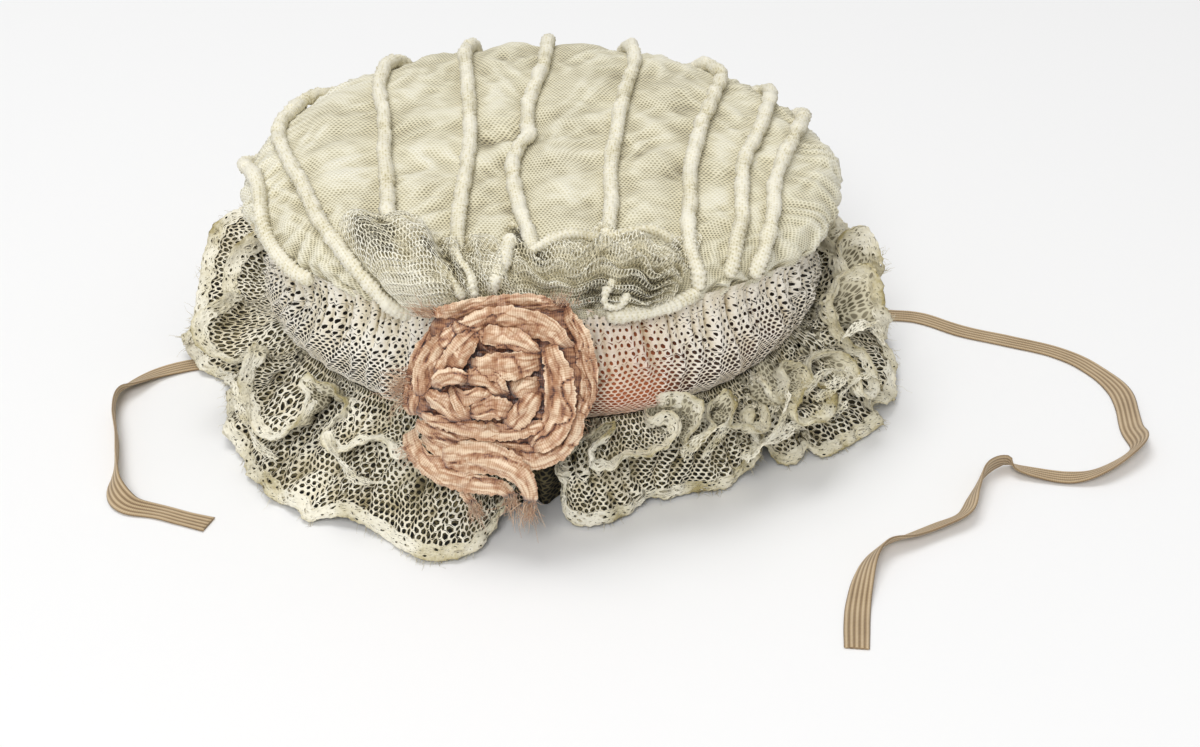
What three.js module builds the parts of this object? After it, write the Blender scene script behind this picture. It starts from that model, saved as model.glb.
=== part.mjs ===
// A small child's hat of lace net. A flat topped crown is ribbed with covered cords and overhangs a padded
// band. Two tiers of gathered net frill hang from the band and spread on the table that the hat rests on.
// A silk ribbon rosette and a scarf of puffed net sit at the front, and a woven tie hangs from each side.
// Millimetres and degrees. The front faces -Y, +X is on the viewer's right, and the table is at z = 0.
// An angle runs anticlockwise seen from above, from +X, so the front is at -90.
import * as THREE from "three";

// Head opening and band
const HEAD_RX = 70;
const HEAD_RY = 71;
const SILK_WALL = 1;
const SILK_SHARE = 0.5;
const BAND_WALL = 1.5;
const BAND_FOOT = 30;
const BAND_TOP = 51;
const BAND_LEAN = 5;
const BAND_BULGE = 7.5;
const BAND_WRINKLE = 0.7;
const BAND_FOLDS = 13;
const BAND_FOLD_SLANT = 5;
const BAND_BACK_SHARE = 0.4;

// Crown
const CROWN_WALL = 1.5;
const CROWN_OVERHANG_X = 12;
const CROWN_OVERHANG_Y = 10;
const CROWN_TOP = 73;
const CROWN_RAKE = 0.05;
const RIM_INSET_X = 0.8;
const RIM_INSET_Y = 2.4;
const PUFF_SHARE = 0.14;
const CROWN_CREASE = 0.5;
const CREASES_ACROSS = 7;
const CREASES_BACK = 11;
const CORD_DIAMETER = 4.6;
const CORD_SIDES = 6;

// Frills
const FRILL_WALL = 1.2;
const LOWER_REACH = 35;
const UPPER_REACH = 18;
const FRILL_OFFSET = 2.4;
const FRILL_SETTLE = 3;
const UPPER_DIP = 4;
const FRILL_FLARE = 1.6;
const FRILL_FALL = 1.3;
const GATHER_DEPTH = 0.8;
const GATHERS = 30;

// Scarf puffs, rosette and ribbon ends
const SCARF_WALL = 1;
const SCARF_RISE = 8;
const SCARF_FOLD = 1.2;
const ROSETTE_RADIUS = 22.5;
const ROSETTE_DEPTH = 10;
const ROSETTE_RIDGE = 1.5;
const ROSETTE_TURNS = 3.5;
const ROSETTE_ANGLE = -97;
const ROSETTE_TILT = 18;
const ROSETTE_SHARE = 0.6;
const ROSETTE_BACK = 0.9;
const ROSETTE_SIDES = 30;
const ROSETTE_RINGS = 8;
const ROSETTE_LOBES = [
  [5, 0.035],
  [9, 0.025],
];
const TAIL_NECK = 0.65;
const TAIL_NOTCH = 0.2;
const TAIL_LOBES = 2;
const TAIL_WAVE = 2;
const TAIL_WALL = 1;
const TAIL_WIDTH = 21;
const TAIL_LENGTH = 18;
const TAIL_FLARE = 5;

// Ties, and the gap that pieces keep from each other
const TIE_WIDTH = 6.4;
const TIE_WALL = 1;
const TIE_STEP = 9;
const CLEAR = 0.4;

// Grid sizes
const CROWN_ROWS = 20;
const PUFF_COLUMNS = 3;
const BAND_COLUMNS = 54;
const BAND_ROWS = 5;
const FOLD_COLUMNS = 3;

const RIM_RX = HEAD_RX - RIM_INSET_X;
const RIM_RY = HEAD_RY - RIM_INSET_Y;
const CROWN_RX = HEAD_RX + CROWN_OVERHANG_X;
const CROWN_RY = HEAD_RY + CROWN_OVERHANG_Y;
const BAND_RX = HEAD_RX + SILK_WALL + CLEAR + BAND_WALL / 2;
const BAND_RY = HEAD_RY + SILK_WALL + CLEAR + BAND_WALL / 2;
const CORD_RADIUS = CORD_DIAMETER / 2;
const CORD_HEIGHT = CROWN_WALL / 2 + CORD_RADIUS + CLEAR;

// Rows of numbers become rows with named columns.
const table = (columns, rows) =>
  rows.map((row) => Object.fromEntries(columns.map((name, i) => [name, row[i]])));

// The crown from its middle, at 0, to its rim, at 1. side and front are shares of its half width where it
// overhangs and at the face, tuck is how far it has drawn in to the rim, and up is its height over the rim.
const CROWN_PROFILE = table(
  ["at", "side", "front", "tuck", "up"],
  [
    [0, 0, 0, 0, 1],
    [0.25, 0.27, 0.27, 0, 1],
    [0.45, 0.5, 0.5, 0, 0.98],
    [0.62, 0.72, 0.69, 0, 0.92],
    [0.75, 0.88, 0.79, 0, 0.8],
    [0.85, 0.975, 0.83, 0, 0.6],
    [0.92, 1, 0.85, 0.05, 0.33],
    [0.97, 0.99, 0.86, 0.4, 0.1],
    [1, 0.98, 0.86, 1, 0],
  ],
);

// Ribs from the viewer's left to right. from and to are where a rib starts and ends between the front, -1,
// and the back, 1. The other columns are its sideways place there, as a share of the half width.
const RIB_STATIONS = [-1, -0.6, -0.2, 0.2, 0.6, 1];
const RIBS = table(
  ["from", "to", "front", "fore", "near", "far", "aft", "back"],
  [
    [-0.78, 0.85, -0.86, -0.84, -0.8, -0.9, -0.92, -0.9],
    [-0.97, 0.95, -0.6, -0.63, -0.68, -0.77, -0.76, -0.72],
    [-0.6, 0.96, -0.42, -0.42, -0.45, -0.485, -0.53, -0.52],
    [-0.6, 0.97, -0.26, -0.24, -0.22, -0.23, -0.27, -0.28],
    [-0.6, 0.97, 0, -0.02, -0.085, -0.05, 0, 0],
    [-0.6, 0.97, 0.2, 0.21, 0.215, 0.25, 0.3, 0.28],
    [-0.84, 0.96, 0.68, 0.47, 0.445, 0.5, 0.57, 0.54],
    [-0.62, 0.95, 0.74, 0.62, 0.575, 0.65, 0.74, 0.73],
    [-0.66, 0.93, 0.84, 0.71, 0.665, 0.75, 0.85, 0.87],
  ],
);

// Two more lengths of covered cord lie over the front of the crown, as (sideways, front to back) places.
const FRONT_CORDS = [
  [[-0.09, -0.66], [-0.11, -0.76], [-0.12, -0.81], [-0.13, -0.84]],
  [[0.62, -0.84], [0.52, -0.9], [0.4, -0.93], [0.3, -0.94]],
];

// The scarf's two puffs cover these parts of the front of the crown. folds is the number of folds in each.
const SCARF_PUFFS = table(
  ["name", "left", "right", "top", "foot", "rise", "folds"],
  [
    ["front_puff_left", -0.53, -0.26, -0.66, -0.88, 1, 2],
    ["front_puff_right", -0.02, 0.42, -0.66, -0.9, 0.8, 4],
  ],
);

// The lower frill at its hem. reach is a share of LOWER_REACH out from the band, below 0 where the hem
// tucks under it, and lift a share of BAND_FOOT up from the table.
const LOWER_FOLDS = table(
  ["at", "reach", "lift"],
  [
    [-178, 0.88, 0.2],
    [-169, 0.56, 0.22],
    [-161, 0.68, 0],
    [-153, 0.58, 0.18],
    [-144, 0.7, 0],
    [-137, 0.62, 0.16],
    [-128, 0.75, 0],
    [-121, 0.5, 0.24],
    [-113, 0.7, 0],
    [-106, 0.74, 0],
    [-101, 0.45, 0.18],
    [-96, 0.08, 0.5],
    [-89, 0.02, 0.55],
    [-84, 0.12, 0.22],
    [-78, 0.24, 0],
    [-70, 0.08, 0.15],
    [-62, 0.18, 0],
    [-54, 0.08, 0.15],
    [-45, 0.2, 0],
    [-38, 0.3, 0.2],
    [-30, 0.62, 0],
    [-23, 0.78, 0],
    [-15, 0.66, 0.22],
    [-6, 0.86, 0],
    [4, 0.7, 0.2],
    [14, 0.84, 0.22],
    [24, 0.66, 0.2],
    [36, 0.8, 0],
    [48, 0.6, 0.22],
    [60, 0.78, 0],
    [72, 0.58, 0.2],
    [84, 0.74, 0],
    [96, 0.58, 0.2],
    [108, 0.76, 0],
    [120, 0.6, 0.22],
    [132, 0.78, 0],
    [144, 0.62, 0.2],
    [154, 0.8, 0.2],
    [162, 0.66, 1.2],
    [171, 0.72, 1.25],
    [177, 0.84, 0.6],
  ],
);

// The upper frill at its hem, in the same way: reach is a share of UPPER_REACH and height of BAND_FOOT.
const UPPER_FOLDS = table(
  ["at", "reach", "height"],
  [
    [-174, 0.5, 1.15],
    [-164, 0.85, 0.95],
    [-155, 0.45, 1.05],
    [-146, 0.95, 0.85],
    [-138, 0.5, 1],
    [-130, 0.9, 0.8],
    [-122, 0.35, 0.95],
    [-112, 0.3, 0.85],
    [-100, 0.12, 0.8],
    [-88, 0.12, 0.8],
    [-83, 0.2, 0.85],
    [-79, 0.65, 0.95],
    [-74, 0.35, 1.05],
    [-69, 0.7, 1.3],
    [-65, 0.4, 1.05],
    [-61, 0.75, 1],
    [-56, 0.4, 1.05],
    [-50, 0.8, 1.2],
    [-45, 0.45, 1.1],
    [-40, 0.9, 1],
    [-34, 0.4, 1.1],
    [-28, 0.95, 1.2],
    [-22, 0.45, 1.3],
    [-15, 1, 1.5],
    [-7, 0.5, 1.3],
    [1, 0.95, 1.45],
    [10, 0.5, 1.2],
    [19, 0.9, 1.05],
    [30, 0.4, 1.05],
    [42, 0.85, 0.9],
    [54, 0.4, 1],
    [66, 0.85, 0.85],
    [78, 0.4, 1],
    [90, 0.85, 0.85],
    [102, 0.4, 1],
    [114, 0.85, 0.85],
    [126, 0.4, 1],
    [138, 0.85, 0.9],
    [150, 0.4, 1.05],
    [160, 0.7, 1.2],
    [172, 0.6, 1.25],
    [180, 0.75, 1.2],
  ],
);

// The free run of each tie over the table. low is the height of the tape's lower edge, and roll turns the
// tape from flat, 0, to standing on its edge, 90.
const TIE_COLUMNS = ["x", "y", "low", "roll"];
const TIE_LEFT = table(TIE_COLUMNS, [
  [-75.8, 2, 15.9, 0],
  [-79, 2, 13.2, 0],
  [-86, 1.8, 5, 0],
  [-94, 1.6, 0.4, 0],
  [-103, 0.9, 0, 0],
  [-112.4, -4.6, 0, 8],
  [-118.8, -13.8, 0.2, 35],
  [-120.6, -20.6, 0, 75],
  [-119.3, -30.4, 0, 90],
  [-116.3, -41.9, 0, 90],
  [-114.2, -54.4, 0, 80],
  [-112.8, -64.2, 0.2, 45],
  [-108.3, -70.1, 0.2, 15],
  [-100.6, -71.9, 0, 0],
  [-92.7, -75.1, 0, 0],
  [-85.8, -77.7, 0, 0],
]);
const TIE_RIGHT = table(TIE_COLUMNS, [
  [76.2, 27, 7.7, 0],
  [79.5, 28, 4.9, 0],
  [86, 29.2, 1.4, 0],
  [94, 30.2, 0, 0],
  [104.1, 29.6, 0, 0],
  [113, 27.8, 0, 0],
  [124.3, 20.2, 0, 0],
  [137.4, 14.4, 0, 0],
  [150.2, 8.1, 0, 0],
  [158.8, -0.8, 0, 0],
  [164.3, -14.8, 0, 10],
  [163.5, -33.4, 0, 20],
  [162.8, -44.8, 0.3, 50],
  [151.4, -55.3, 0.3, 30],
  [141.7, -56.8, 0, 5],
  [129.5, -53.9, 0, 20],
  [125, -52.6, 0.2, 60],
  [119.3, -57.2, 0.2, 80],
  [114.6, -67.4, 0, 60],
  [111, -75.5, 0, 40],
  [103.6, -80.3, 0, 30],
  [95.8, -85.1, 0, 35],
  [88.5, -89.8, 0.2, 55],
  [83.4, -97.8, 0.2, 40],
  [79.6, -112.4, 0, 5],
  [77.7, -128.2, 0, 0],
]);

const MATERIALS = {
  crown_net: { color: "#e6dfcb", roughness: 0.9, metalness: 0 },
  rib_net: { color: "#efe9da", roughness: 0.9, metalness: 0 },
  band_net: { color: "#e6d5c9", roughness: 0.9, metalness: 0 },
  silk: { color: "#dfae9c", roughness: 0.45, metalness: 0 },
  frill_net: { color: "#c9c4b1", roughness: 0.9, metalness: 0 },
  ribbon: { color: "#d9a58c", roughness: 0.45, metalness: 0 },
  elastic: { color: "#b39a78", roughness: 0.8, metalness: 0 },
};

const { clamp, lerp, degToRad } = THREE.MathUtils;

// One column of a table at a place, on a smooth curve through its rows. A period joins the last to the first.
function follow(rows, column, place, period = 0) {
  const count = rows.length;
  const at = period ? THREE.MathUtils.euclideanModulo(place - rows[0].at, period) + rows[0].at : place;
  const knot = (i) => {
    if (!period) return [rows[clamp(i, 0, count - 1)].at, rows[clamp(i, 0, count - 1)][column]];
    const turn = Math.floor(i / count);
    return [rows[i - turn * count].at + turn * period, rows[i - turn * count][column]];
  };
  let i = 0;
  while (i < (period ? count - 1 : count - 2) && rows[i + 1].at <= at) i += 1;
  const [[a0, v0], [a1, v1], [a2, v2], [a3, v3]] = [knot(i - 1), knot(i), knot(i + 1), knot(i + 2)];
  const span = a2 - a1;
  const leave = ((v2 - v0) / (a2 - a0)) * span;
  const arrive = ((v3 - v1) / (a3 - a1)) * span;
  const t = clamp((at - a1) / span, 0, 1);
  const ease = t * t * (3 - 2 * t);
  return lerp(v1, v2, ease) + leave * t * (1 - t) ** 2 - arrive * t * t * (1 - t);
}

// A wall of cloth: a grid of middle points is given half its thickness to each side and closed all round.
// A round wall joins its last column to its first. A settled wall lies flat where it meets the table.
function cloth(middle, columns, rows, thickness, { round = false, settled = false } = {}) {
  const count = round ? columns : columns + 1;
  const column = (i) => (round ? (i + count) % count : clamp(i, 0, columns));
  const points = [];
  for (let i = 0; i < count; i += 1) {
    points.push([]);
    for (let j = 0; j <= rows; j += 1) {
      const point = middle(i, j);
      if (settled) point.z = Math.max(point.z, thickness / 2);
      points[i].push(point);
    }
  }
  const positions = [];
  const along = new THREE.Vector3();
  const down = new THREE.Vector3();
  for (let i = 0; i < count; i += 1) {
    for (let j = 0; j <= rows; j += 1) {
      along.subVectors(points[column(i + 1)][j], points[column(i - 1)][j]);
      down.subVectors(points[i][Math.min(j + 1, rows)], points[i][Math.max(j - 1, 0)]);
      const half = along.cross(down).setLength(thickness / 2);
      const sides = [points[i][j].clone().add(half), points[i][j].clone().sub(half)];
      if (settled && points[i][j].z <= thickness / 2) {
        sides[half.z > 0 ? 1 : 0].z = 0;
      }
      for (const side of sides) positions.push(side.x, side.y, Math.max(side.z, settled ? 0 : -Infinity));
    }
  }
  const vertex = (i, j, side) => (column(i) * (rows + 1) + j) * 2 + side;
  const faces = [];
  const quad = (a, b, c, d) => faces.push(a, b, c, a, c, d);
  for (let i = 0; i < columns; i += 1) {
    for (let j = 0; j < rows; j += 1) {
      quad(vertex(i, j, 0), vertex(i + 1, j, 0), vertex(i + 1, j + 1, 0), vertex(i, j + 1, 0));
      quad(vertex(i, j + 1, 1), vertex(i + 1, j + 1, 1), vertex(i + 1, j, 1), vertex(i, j, 1));
    }
    quad(vertex(i + 1, 0, 0), vertex(i, 0, 0), vertex(i, 0, 1), vertex(i + 1, 0, 1));
    quad(vertex(i, rows, 0), vertex(i + 1, rows, 0), vertex(i + 1, rows, 1), vertex(i, rows, 1));
  }
  if (!round) {
    for (let j = 0; j < rows; j += 1) {
      quad(vertex(0, j, 0), vertex(0, j + 1, 0), vertex(0, j + 1, 1), vertex(0, j, 1));
      quad(vertex(columns, j + 1, 0), vertex(columns, j, 0), vertex(columns, j, 1), vertex(columns, j + 1, 1));
    }
  }
  const geometry = new THREE.BufferGeometry();
  geometry.setAttribute("position", new THREE.Float32BufferAttribute(positions, 3));
  geometry.setIndex(faces);
  return facingOut(geometry);
}

// A closed body whose faces are turned, if they need it, to point out.
function facingOut(geometry) {
  const corner = geometry.attributes.position;
  const [a, b, c] = [new THREE.Vector3(), new THREE.Vector3(), new THREE.Vector3()];
  let volume = 0;
  for (let k = 0; k < geometry.index.count; k += 3) {
    a.fromBufferAttribute(corner, geometry.index.getX(k));
    b.fromBufferAttribute(corner, geometry.index.getX(k + 1));
    c.fromBufferAttribute(corner, geometry.index.getX(k + 2));
    volume += a.dot(b.cross(c));
  }
  if (volume < 0) geometry.index.array.reverse();
  geometry.computeVertexNormals();
  return geometry;
}

const hat = new THREE.Group();

function add(name, geometry, material) {
  const mesh = new THREE.Mesh(geometry, new THREE.MeshStandardMaterial(MATERIALS[material]));
  mesh.name = name;
  hat.add(mesh);
  return mesh;
}

// Height of the seam between band and crown, higher at the face than at the back.
const seamHeight = (angle) => BAND_TOP - BAND_LEAN * Math.sin(angle);

// The crown without its puffs, from a place on a square: left to right and front to back, each -1 to 1.
function crownForm(side, depth) {
  const x = side * Math.sqrt(1 - depth ** 2 / 2);
  const y = depth * Math.sqrt(1 - side ** 2 / 2);
  const away = Math.min(Math.hypot(x, y), 1);
  const angle = Math.atan2(y, x);
  const face = Math.max(0, -Math.sin(angle)) ** 2;
  const spread = lerp(follow(CROWN_PROFILE, "side", away), follow(CROWN_PROFILE, "front", away), face);
  const tuck = follow(CROWN_PROFILE, "tuck", away);
  const up = follow(CROWN_PROFILE, "up", away);
  return new THREE.Vector3(
    Math.cos(angle) * lerp(CROWN_RX * spread, RIM_RX, tuck),
    Math.sin(angle) * lerp(CROWN_RY * spread, RIM_RY, tuck),
    lerp(seamHeight(angle), CROWN_TOP + CROWN_RAKE * y * CROWN_RY, up),
  );
}

const SLOPE_STEP = 0.01;
const SLOPE_EDGE = 0.97;

function crownNormal(side, depth) {
  const s = clamp(side, -SLOPE_EDGE, SLOPE_EDGE);
  const d = clamp(depth, -SLOPE_EDGE, SLOPE_EDGE);
  const across = crownForm(s + SLOPE_STEP, d).sub(crownForm(s - SLOPE_STEP, d));
  const back = crownForm(s, d + SLOPE_STEP).sub(crownForm(s, d - SLOPE_STEP));
  return across.cross(back).normalize();
}

const onCrown = (side, depth, height) =>
  crownForm(side, depth).addScaledVector(crownNormal(side, depth), height);

// Sideways place of a rib at a depth between front and back.
function ribSide(rib, depth) {
  const places = [rib.front, rib.fore, rib.near, rib.far, rib.aft, rib.back];
  return follow(RIB_STATIONS.map((at, i) => ({ at, side: places[i] })), "side", depth);
}

// Height of the puffed and creased cloth over the crown's form, which is 0 along each rib.
function crownSwell(side, depth) {
  const edges = [-1, ...RIBS.map((rib) => ribSide(rib, depth)), 1];
  const puff = clamp(edges.findIndex((edge) => edge > side) - 1, 0, RIBS.length);
  const width = edges[puff + 1] - edges[puff];
  const share = clamp((side - edges[puff]) / width, 0, 1);
  const fade = (1 - depth ** 6) * (1 - side ** 10);
  const swell = PUFF_SHARE * width * CROWN_RX * Math.sin(Math.PI * share) ** 2;
  const ripple = Math.sin(CREASES_BACK * depth + CREASES_ACROSS * side);
  const crease = CROWN_CREASE * ripple * Math.sin(Math.PI * share);
  return (swell + crease) * fade;
}

// Rows lie closer together near the front and the back, where the crown turns down.
const rowDepth = (row) => Math.sin(((row / CROWN_ROWS) * 2 - 1) * (Math.PI / 2));

function crown() {
  const columns = (RIBS.length + 1) * PUFF_COLUMNS;
  return cloth(
    (i, j) => {
      const depth = rowDepth(j);
      const edges = [-1, ...RIBS.map((rib) => ribSide(rib, depth)), 1];
      const puff = Math.min(Math.floor(i / PUFF_COLUMNS), RIBS.length);
      const share = i / PUFF_COLUMNS - puff;
      const side = lerp(edges[puff], edges[puff + 1], share);
      return onCrown(side, depth, crownSwell(side, depth));
    },
    columns,
    CROWN_ROWS,
    CROWN_WALL,
  );
}

// A curve at cord height over the crown, stepped by its own parameter so that it keeps to the crown's rows.
class CrownCurve extends THREE.Curve {
  constructor(place) {
    super();
    this.place = place;
  }
  getPoint(t, target = new THREE.Vector3()) {
    const [side, depth] = this.place(t);
    return target.copy(onCrown(side, depth, crownSwell(side, depth) + CORD_HEIGHT));
  }
  getPointAt(t, target) {
    return this.getPoint(t, target);
  }
  getTangentAt(t, target) {
    return this.getTangent(t, target);
  }
}

function roundCord(path, steps) {
  const section = new THREE.Shape();
  for (let k = 0; k < CORD_SIDES; k += 1) {
    const turn = (k / CORD_SIDES) * Math.PI * 2;
    section[k ? "lineTo" : "moveTo"](CORD_RADIUS * Math.cos(turn), CORD_RADIUS * Math.sin(turn));
  }
  section.closePath();
  return new THREE.ExtrudeGeometry(section, { steps, extrudePath: path, curveSegments: 1 });
}

// A rib starts and ends between two of the crown's rows and follows the rows between them.
function ribCord(rib) {
  const first = Math.round((Math.asin(rib.from) / Math.PI + 0.5) * CROWN_ROWS);
  const last = Math.round((Math.asin(rib.to) / Math.PI + 0.5) * CROWN_ROWS);
  const place = (t) => {
    const depth = rowDepth(lerp(first, last, t));
    return [ribSide(rib, depth), depth];
  };
  return roundCord(new CrownCurve(place), last - first);
}

function frontCord(places) {
  const flat = new THREE.CatmullRomCurve3(places.map(([side, depth]) => new THREE.Vector3(side, depth, 0)));
  const place = (t) => {
    const point = flat.getPoint(t);
    return [point.x, point.y];
  };
  return roundCord(new CrownCurve(place), 7);
}

// The net band bulges most at the face. share runs from its foot, 0, to the seam with the crown, 1.
function bandMiddle(angle, share, wrinkle = BAND_WRINKLE) {
  const face = (1 - Math.sin(angle)) / 2;
  const bulge = BAND_BULGE * lerp(BAND_BACK_SHARE, 1, face) * Math.sin(Math.PI * share ** 0.8);
  const fold = wrinkle * Math.sin(BAND_FOLDS * angle + BAND_FOLD_SLANT * share) * Math.sin(Math.PI * share);
  const top = seamHeight(angle) - (CROWN_WALL + BAND_WALL) / 2 - CLEAR;
  return new THREE.Vector3(
    Math.cos(angle) * (lerp(BAND_RX, RIM_RX, share ** 2) + bulge + fold),
    Math.sin(angle) * (lerp(BAND_RY, RIM_RY, share ** 2) + bulge + fold),
    lerp(BAND_FOOT, top, share),
  );
}

const aroundBand = (i) => (i / BAND_COLUMNS) * Math.PI * 2;

function netBand() {
  const point = (i, j) => bandMiddle(aroundBand(i), j / BAND_ROWS);
  return cloth(point, BAND_COLUMNS, BAND_ROWS, BAND_WALL, { round: true });
}

// The silk lines the lower part of the band. Above it the net draws in towards the crown.
function silkBand() {
  const ring = (i, j) => {
    const angle = aroundBand(i);
    return new THREE.Vector3(
      Math.cos(angle) * (HEAD_RX + SILK_WALL / 2),
      Math.sin(angle) * (HEAD_RY + SILK_WALL / 2),
      lerp(BAND_FOOT, seamHeight(angle), j * SILK_SHARE),
    );
  };
  return cloth(ring, BAND_COLUMNS, 1, SILK_WALL, { round: true });
}

// Columns of a frill stand at its folds and at even steps between them.
function foldAngle(folds, i) {
  const fold = Math.floor(i / FOLD_COLUMNS) % folds.length;
  const next = fold + 1 < folds.length ? folds[fold + 1].at : folds[0].at + 360;
  return lerp(folds[fold].at, next, (i % FOLD_COLUMNS) / FOLD_COLUMNS);
}

const gather = (angle, share) => GATHER_DEPTH * Math.sin(GATHERS * angle) * Math.sin(Math.PI * share);

// The lower frill drops from under the band's foot and spreads on the table. share runs down to the hem.
function lowerMiddle(place, share) {
  const angle = degToRad(place);
  const reach = LOWER_REACH * follow(LOWER_FOLDS, "reach", place, 360) * share ** FRILL_FLARE;
  const lift = BAND_FOOT * follow(LOWER_FOLDS, "lift", place, 360) * share ** 2;
  const out = reach + gather(angle, share);
  const drop = BAND_FOOT - (BAND_WALL + FRILL_WALL) / 2 - CLEAR;
  return new THREE.Vector3(
    Math.cos(angle) * (BAND_RX + out),
    Math.sin(angle) * (BAND_RY + out),
    drop * (1 - share) ** FRILL_FALL + lift - FRILL_SETTLE * share,
  );
}

// The upper frill leaves the band just outside the lower one, dips and curls up.
function upperMiddle(place, share) {
  const angle = degToRad(place);
  const start = BAND_FOOT - (BAND_WALL + FRILL_WALL) / 2 + CLEAR;
  const hem = BAND_FOOT * follow(UPPER_FOLDS, "height", place, 360);
  const reach = UPPER_REACH * follow(UPPER_FOLDS, "reach", place, 360) * share;
  const out = FRILL_OFFSET + reach + gather(angle, share) / 2;
  return new THREE.Vector3(
    Math.cos(angle) * (BAND_RX + out),
    Math.sin(angle) * (BAND_RY + out),
    lerp(start, hem, share ** 2) - UPPER_DIP * Math.sin(Math.PI * share),
  );
}

function frill(folds, middle, shares, settled) {
  const point = (i, j) => middle(foldAngle(folds, i), shares[j]);
  const columns = folds.length * FOLD_COLUMNS;
  return cloth(point, columns, shares.length - 1, FRILL_WALL, { round: true, settled });
}

// One puff of the scarf is a humped sheet over the crown, low at its edges and folded along its length.
function scarfPuff({ left, right, top, foot, rise, folds }) {
  const columns = folds * 3 + 2;
  const rows = 6;
  const seat = CROWN_WALL / 2 + SCARF_WALL / 2 + CLEAR;
  const point = (i, j) => {
    const [a, b] = [i / columns, j / rows];
    const hump = Math.sin(Math.PI * a) ** 0.7 * Math.sin(Math.PI * b) ** 0.7;
    const fold = SCARF_FOLD * Math.cos(2 * Math.PI * (folds * a + b / 2));
    const side = lerp(left, right, a);
    const depth = lerp(foot, top, b);
    return onCrown(side, depth, crownSwell(side, depth) + seat + (SCARF_RISE * rise + fold) * hump);
  };
  return cloth(point, columns, rows, SCARF_WALL);
}

// The rosette is a low round cushion whose face rises in the ridges of a wound ribbon.
function rosette() {
  const positions = [0, 0, ROSETTE_DEPTH];
  const faces = [];
  const turnOf = (k) => (k / ROSETTE_SIDES) * Math.PI * 2;
  const outline = (turn) => {
    const wobble = ROSETTE_LOBES.map(([lobes, share]) => share * Math.cos(lobes * turn));
    return ROSETTE_RADIUS * wobble.reduce((sum, share) => sum + share, 1);
  };
  const firstOf = (ring) => 1 + (ring - 1) * ROSETTE_SIDES;
  const addRing = (share, height) => {
    for (let k = 0; k < ROSETTE_SIDES; k += 1) {
      const turn = turnOf(k);
      const radius = outline(turn) * share;
      positions.push(radius * Math.cos(turn), radius * Math.sin(turn), height(turn));
    }
  };
  for (let ring = 1; ring <= ROSETTE_RINGS; ring += 1) {
    const away = ring / ROSETTE_RINGS;
    const dome = ROSETTE_DEPTH * Math.sqrt(1 - away ** 4);
    const wind = ROSETTE_TURNS * 2 * Math.PI * away;
    const ridge = (turn) => ROSETTE_RIDGE * Math.cos(wind - turn) * (1 - away ** 6);
    addRing(away, (turn) => Math.max(dome + ridge(turn), CLEAR));
  }
  addRing(ROSETTE_BACK, () => 0);
  positions.push(0, 0, 0);
  const middle = positions.length / 3 - 1;
  for (let k = 0; k < ROSETTE_SIDES; k += 1) {
    const next = (k + 1) % ROSETTE_SIDES;
    faces.push(0, firstOf(1) + k, firstOf(1) + next);
    for (let ring = 1; ring <= ROSETTE_RINGS; ring += 1) {
      const [inner, outer] = [firstOf(ring), firstOf(ring + 1)];
      faces.push(inner + k, outer + k, outer + next, inner + k, outer + next, inner + next);
    }
    faces.push(middle, firstOf(ROSETTE_RINGS + 1) + next, firstOf(ROSETTE_RINGS + 1) + k);
  }
  const geometry = new THREE.BufferGeometry();
  geometry.setAttribute("position", new THREE.Float32BufferAttribute(positions, 3));
  geometry.setIndex(faces);
  return facingOut(geometry);
}

// Where the rosette's back meets the band, and the way that its face looks.
const rosetteAngle = degToRad(ROSETTE_ANGLE);
const rosetteSeat = bandMiddle(rosetteAngle, ROSETTE_SHARE, 0);
const rosetteFace = new THREE.Vector3(Math.cos(rosetteAngle), Math.sin(rosetteAngle), 0)
  .multiplyScalar(Math.cos(degToRad(ROSETTE_TILT)))
  .setZ(Math.sin(degToRad(ROSETTE_TILT)));
rosetteSeat.addScaledVector(rosetteFace, BAND_WALL / 2 + CLEAR);

// The ribbon's ends fan out below the rosette in two lobes.
function ribbonTail() {
  const columns = 8;
  const rows = 5;
  const point = (i, j) => {
    const [a, b] = [(i / columns) * 2 - 1, j / rows];
    const x = (TAIL_WIDTH / 2) * a * lerp(TAIL_NECK, 1, b);
    const y = -TAIL_LENGTH * b * (1 - TAIL_NOTCH * (1 - Math.cos(TAIL_LOBES * Math.PI * a)));
    const wave = TAIL_WAVE * Math.cos((TAIL_LOBES + 0.5) * Math.PI * a) * b;
    const z = wave + TAIL_FLARE * Math.sin((Math.PI / 2) * b);
    return new THREE.Vector3(x, y, z);
  };
  return cloth(point, columns, rows, TAIL_WALL);
}

// A tie is a flat tape along a smooth curve through its places.
function tie(places) {
  const rolls = places.map(({ roll }) => degToRad(roll));
  const middles = places.map(({ x, y, low }, i) => {
    const height = (TIE_WIDTH * Math.abs(Math.sin(rolls[i])) + TIE_WALL * Math.abs(Math.cos(rolls[i]))) / 2;
    return new THREE.Vector3(x, y, low + height);
  });
  const path = new THREE.CatmullRomCurve3(middles);
  const steps = Math.round(path.getLength() / TIE_STEP);
  const up = new THREE.Vector3(0, 0, 1);
  const point = (i, j) => {
    const t = path.getUtoTmapping(i / steps);
    const forward = path.getTangent(t);
    const level = new THREE.Vector3().crossVectors(up, forward).normalize();
    const upright = new THREE.Vector3().crossVectors(forward, level);
    const place = t * (places.length - 1);
    const knot = Math.min(Math.floor(place), places.length - 2);
    const roll = lerp(rolls[knot], rolls[knot + 1], place - knot);
    const across = level.multiplyScalar(Math.cos(roll)).addScaledVector(upright, Math.sin(roll));
    return path.getPoint(t).addScaledVector(across, TIE_WIDTH * (j - 0.5));
  };
  return cloth(point, steps, 1, TIE_WALL, { settled: true });
}

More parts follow.
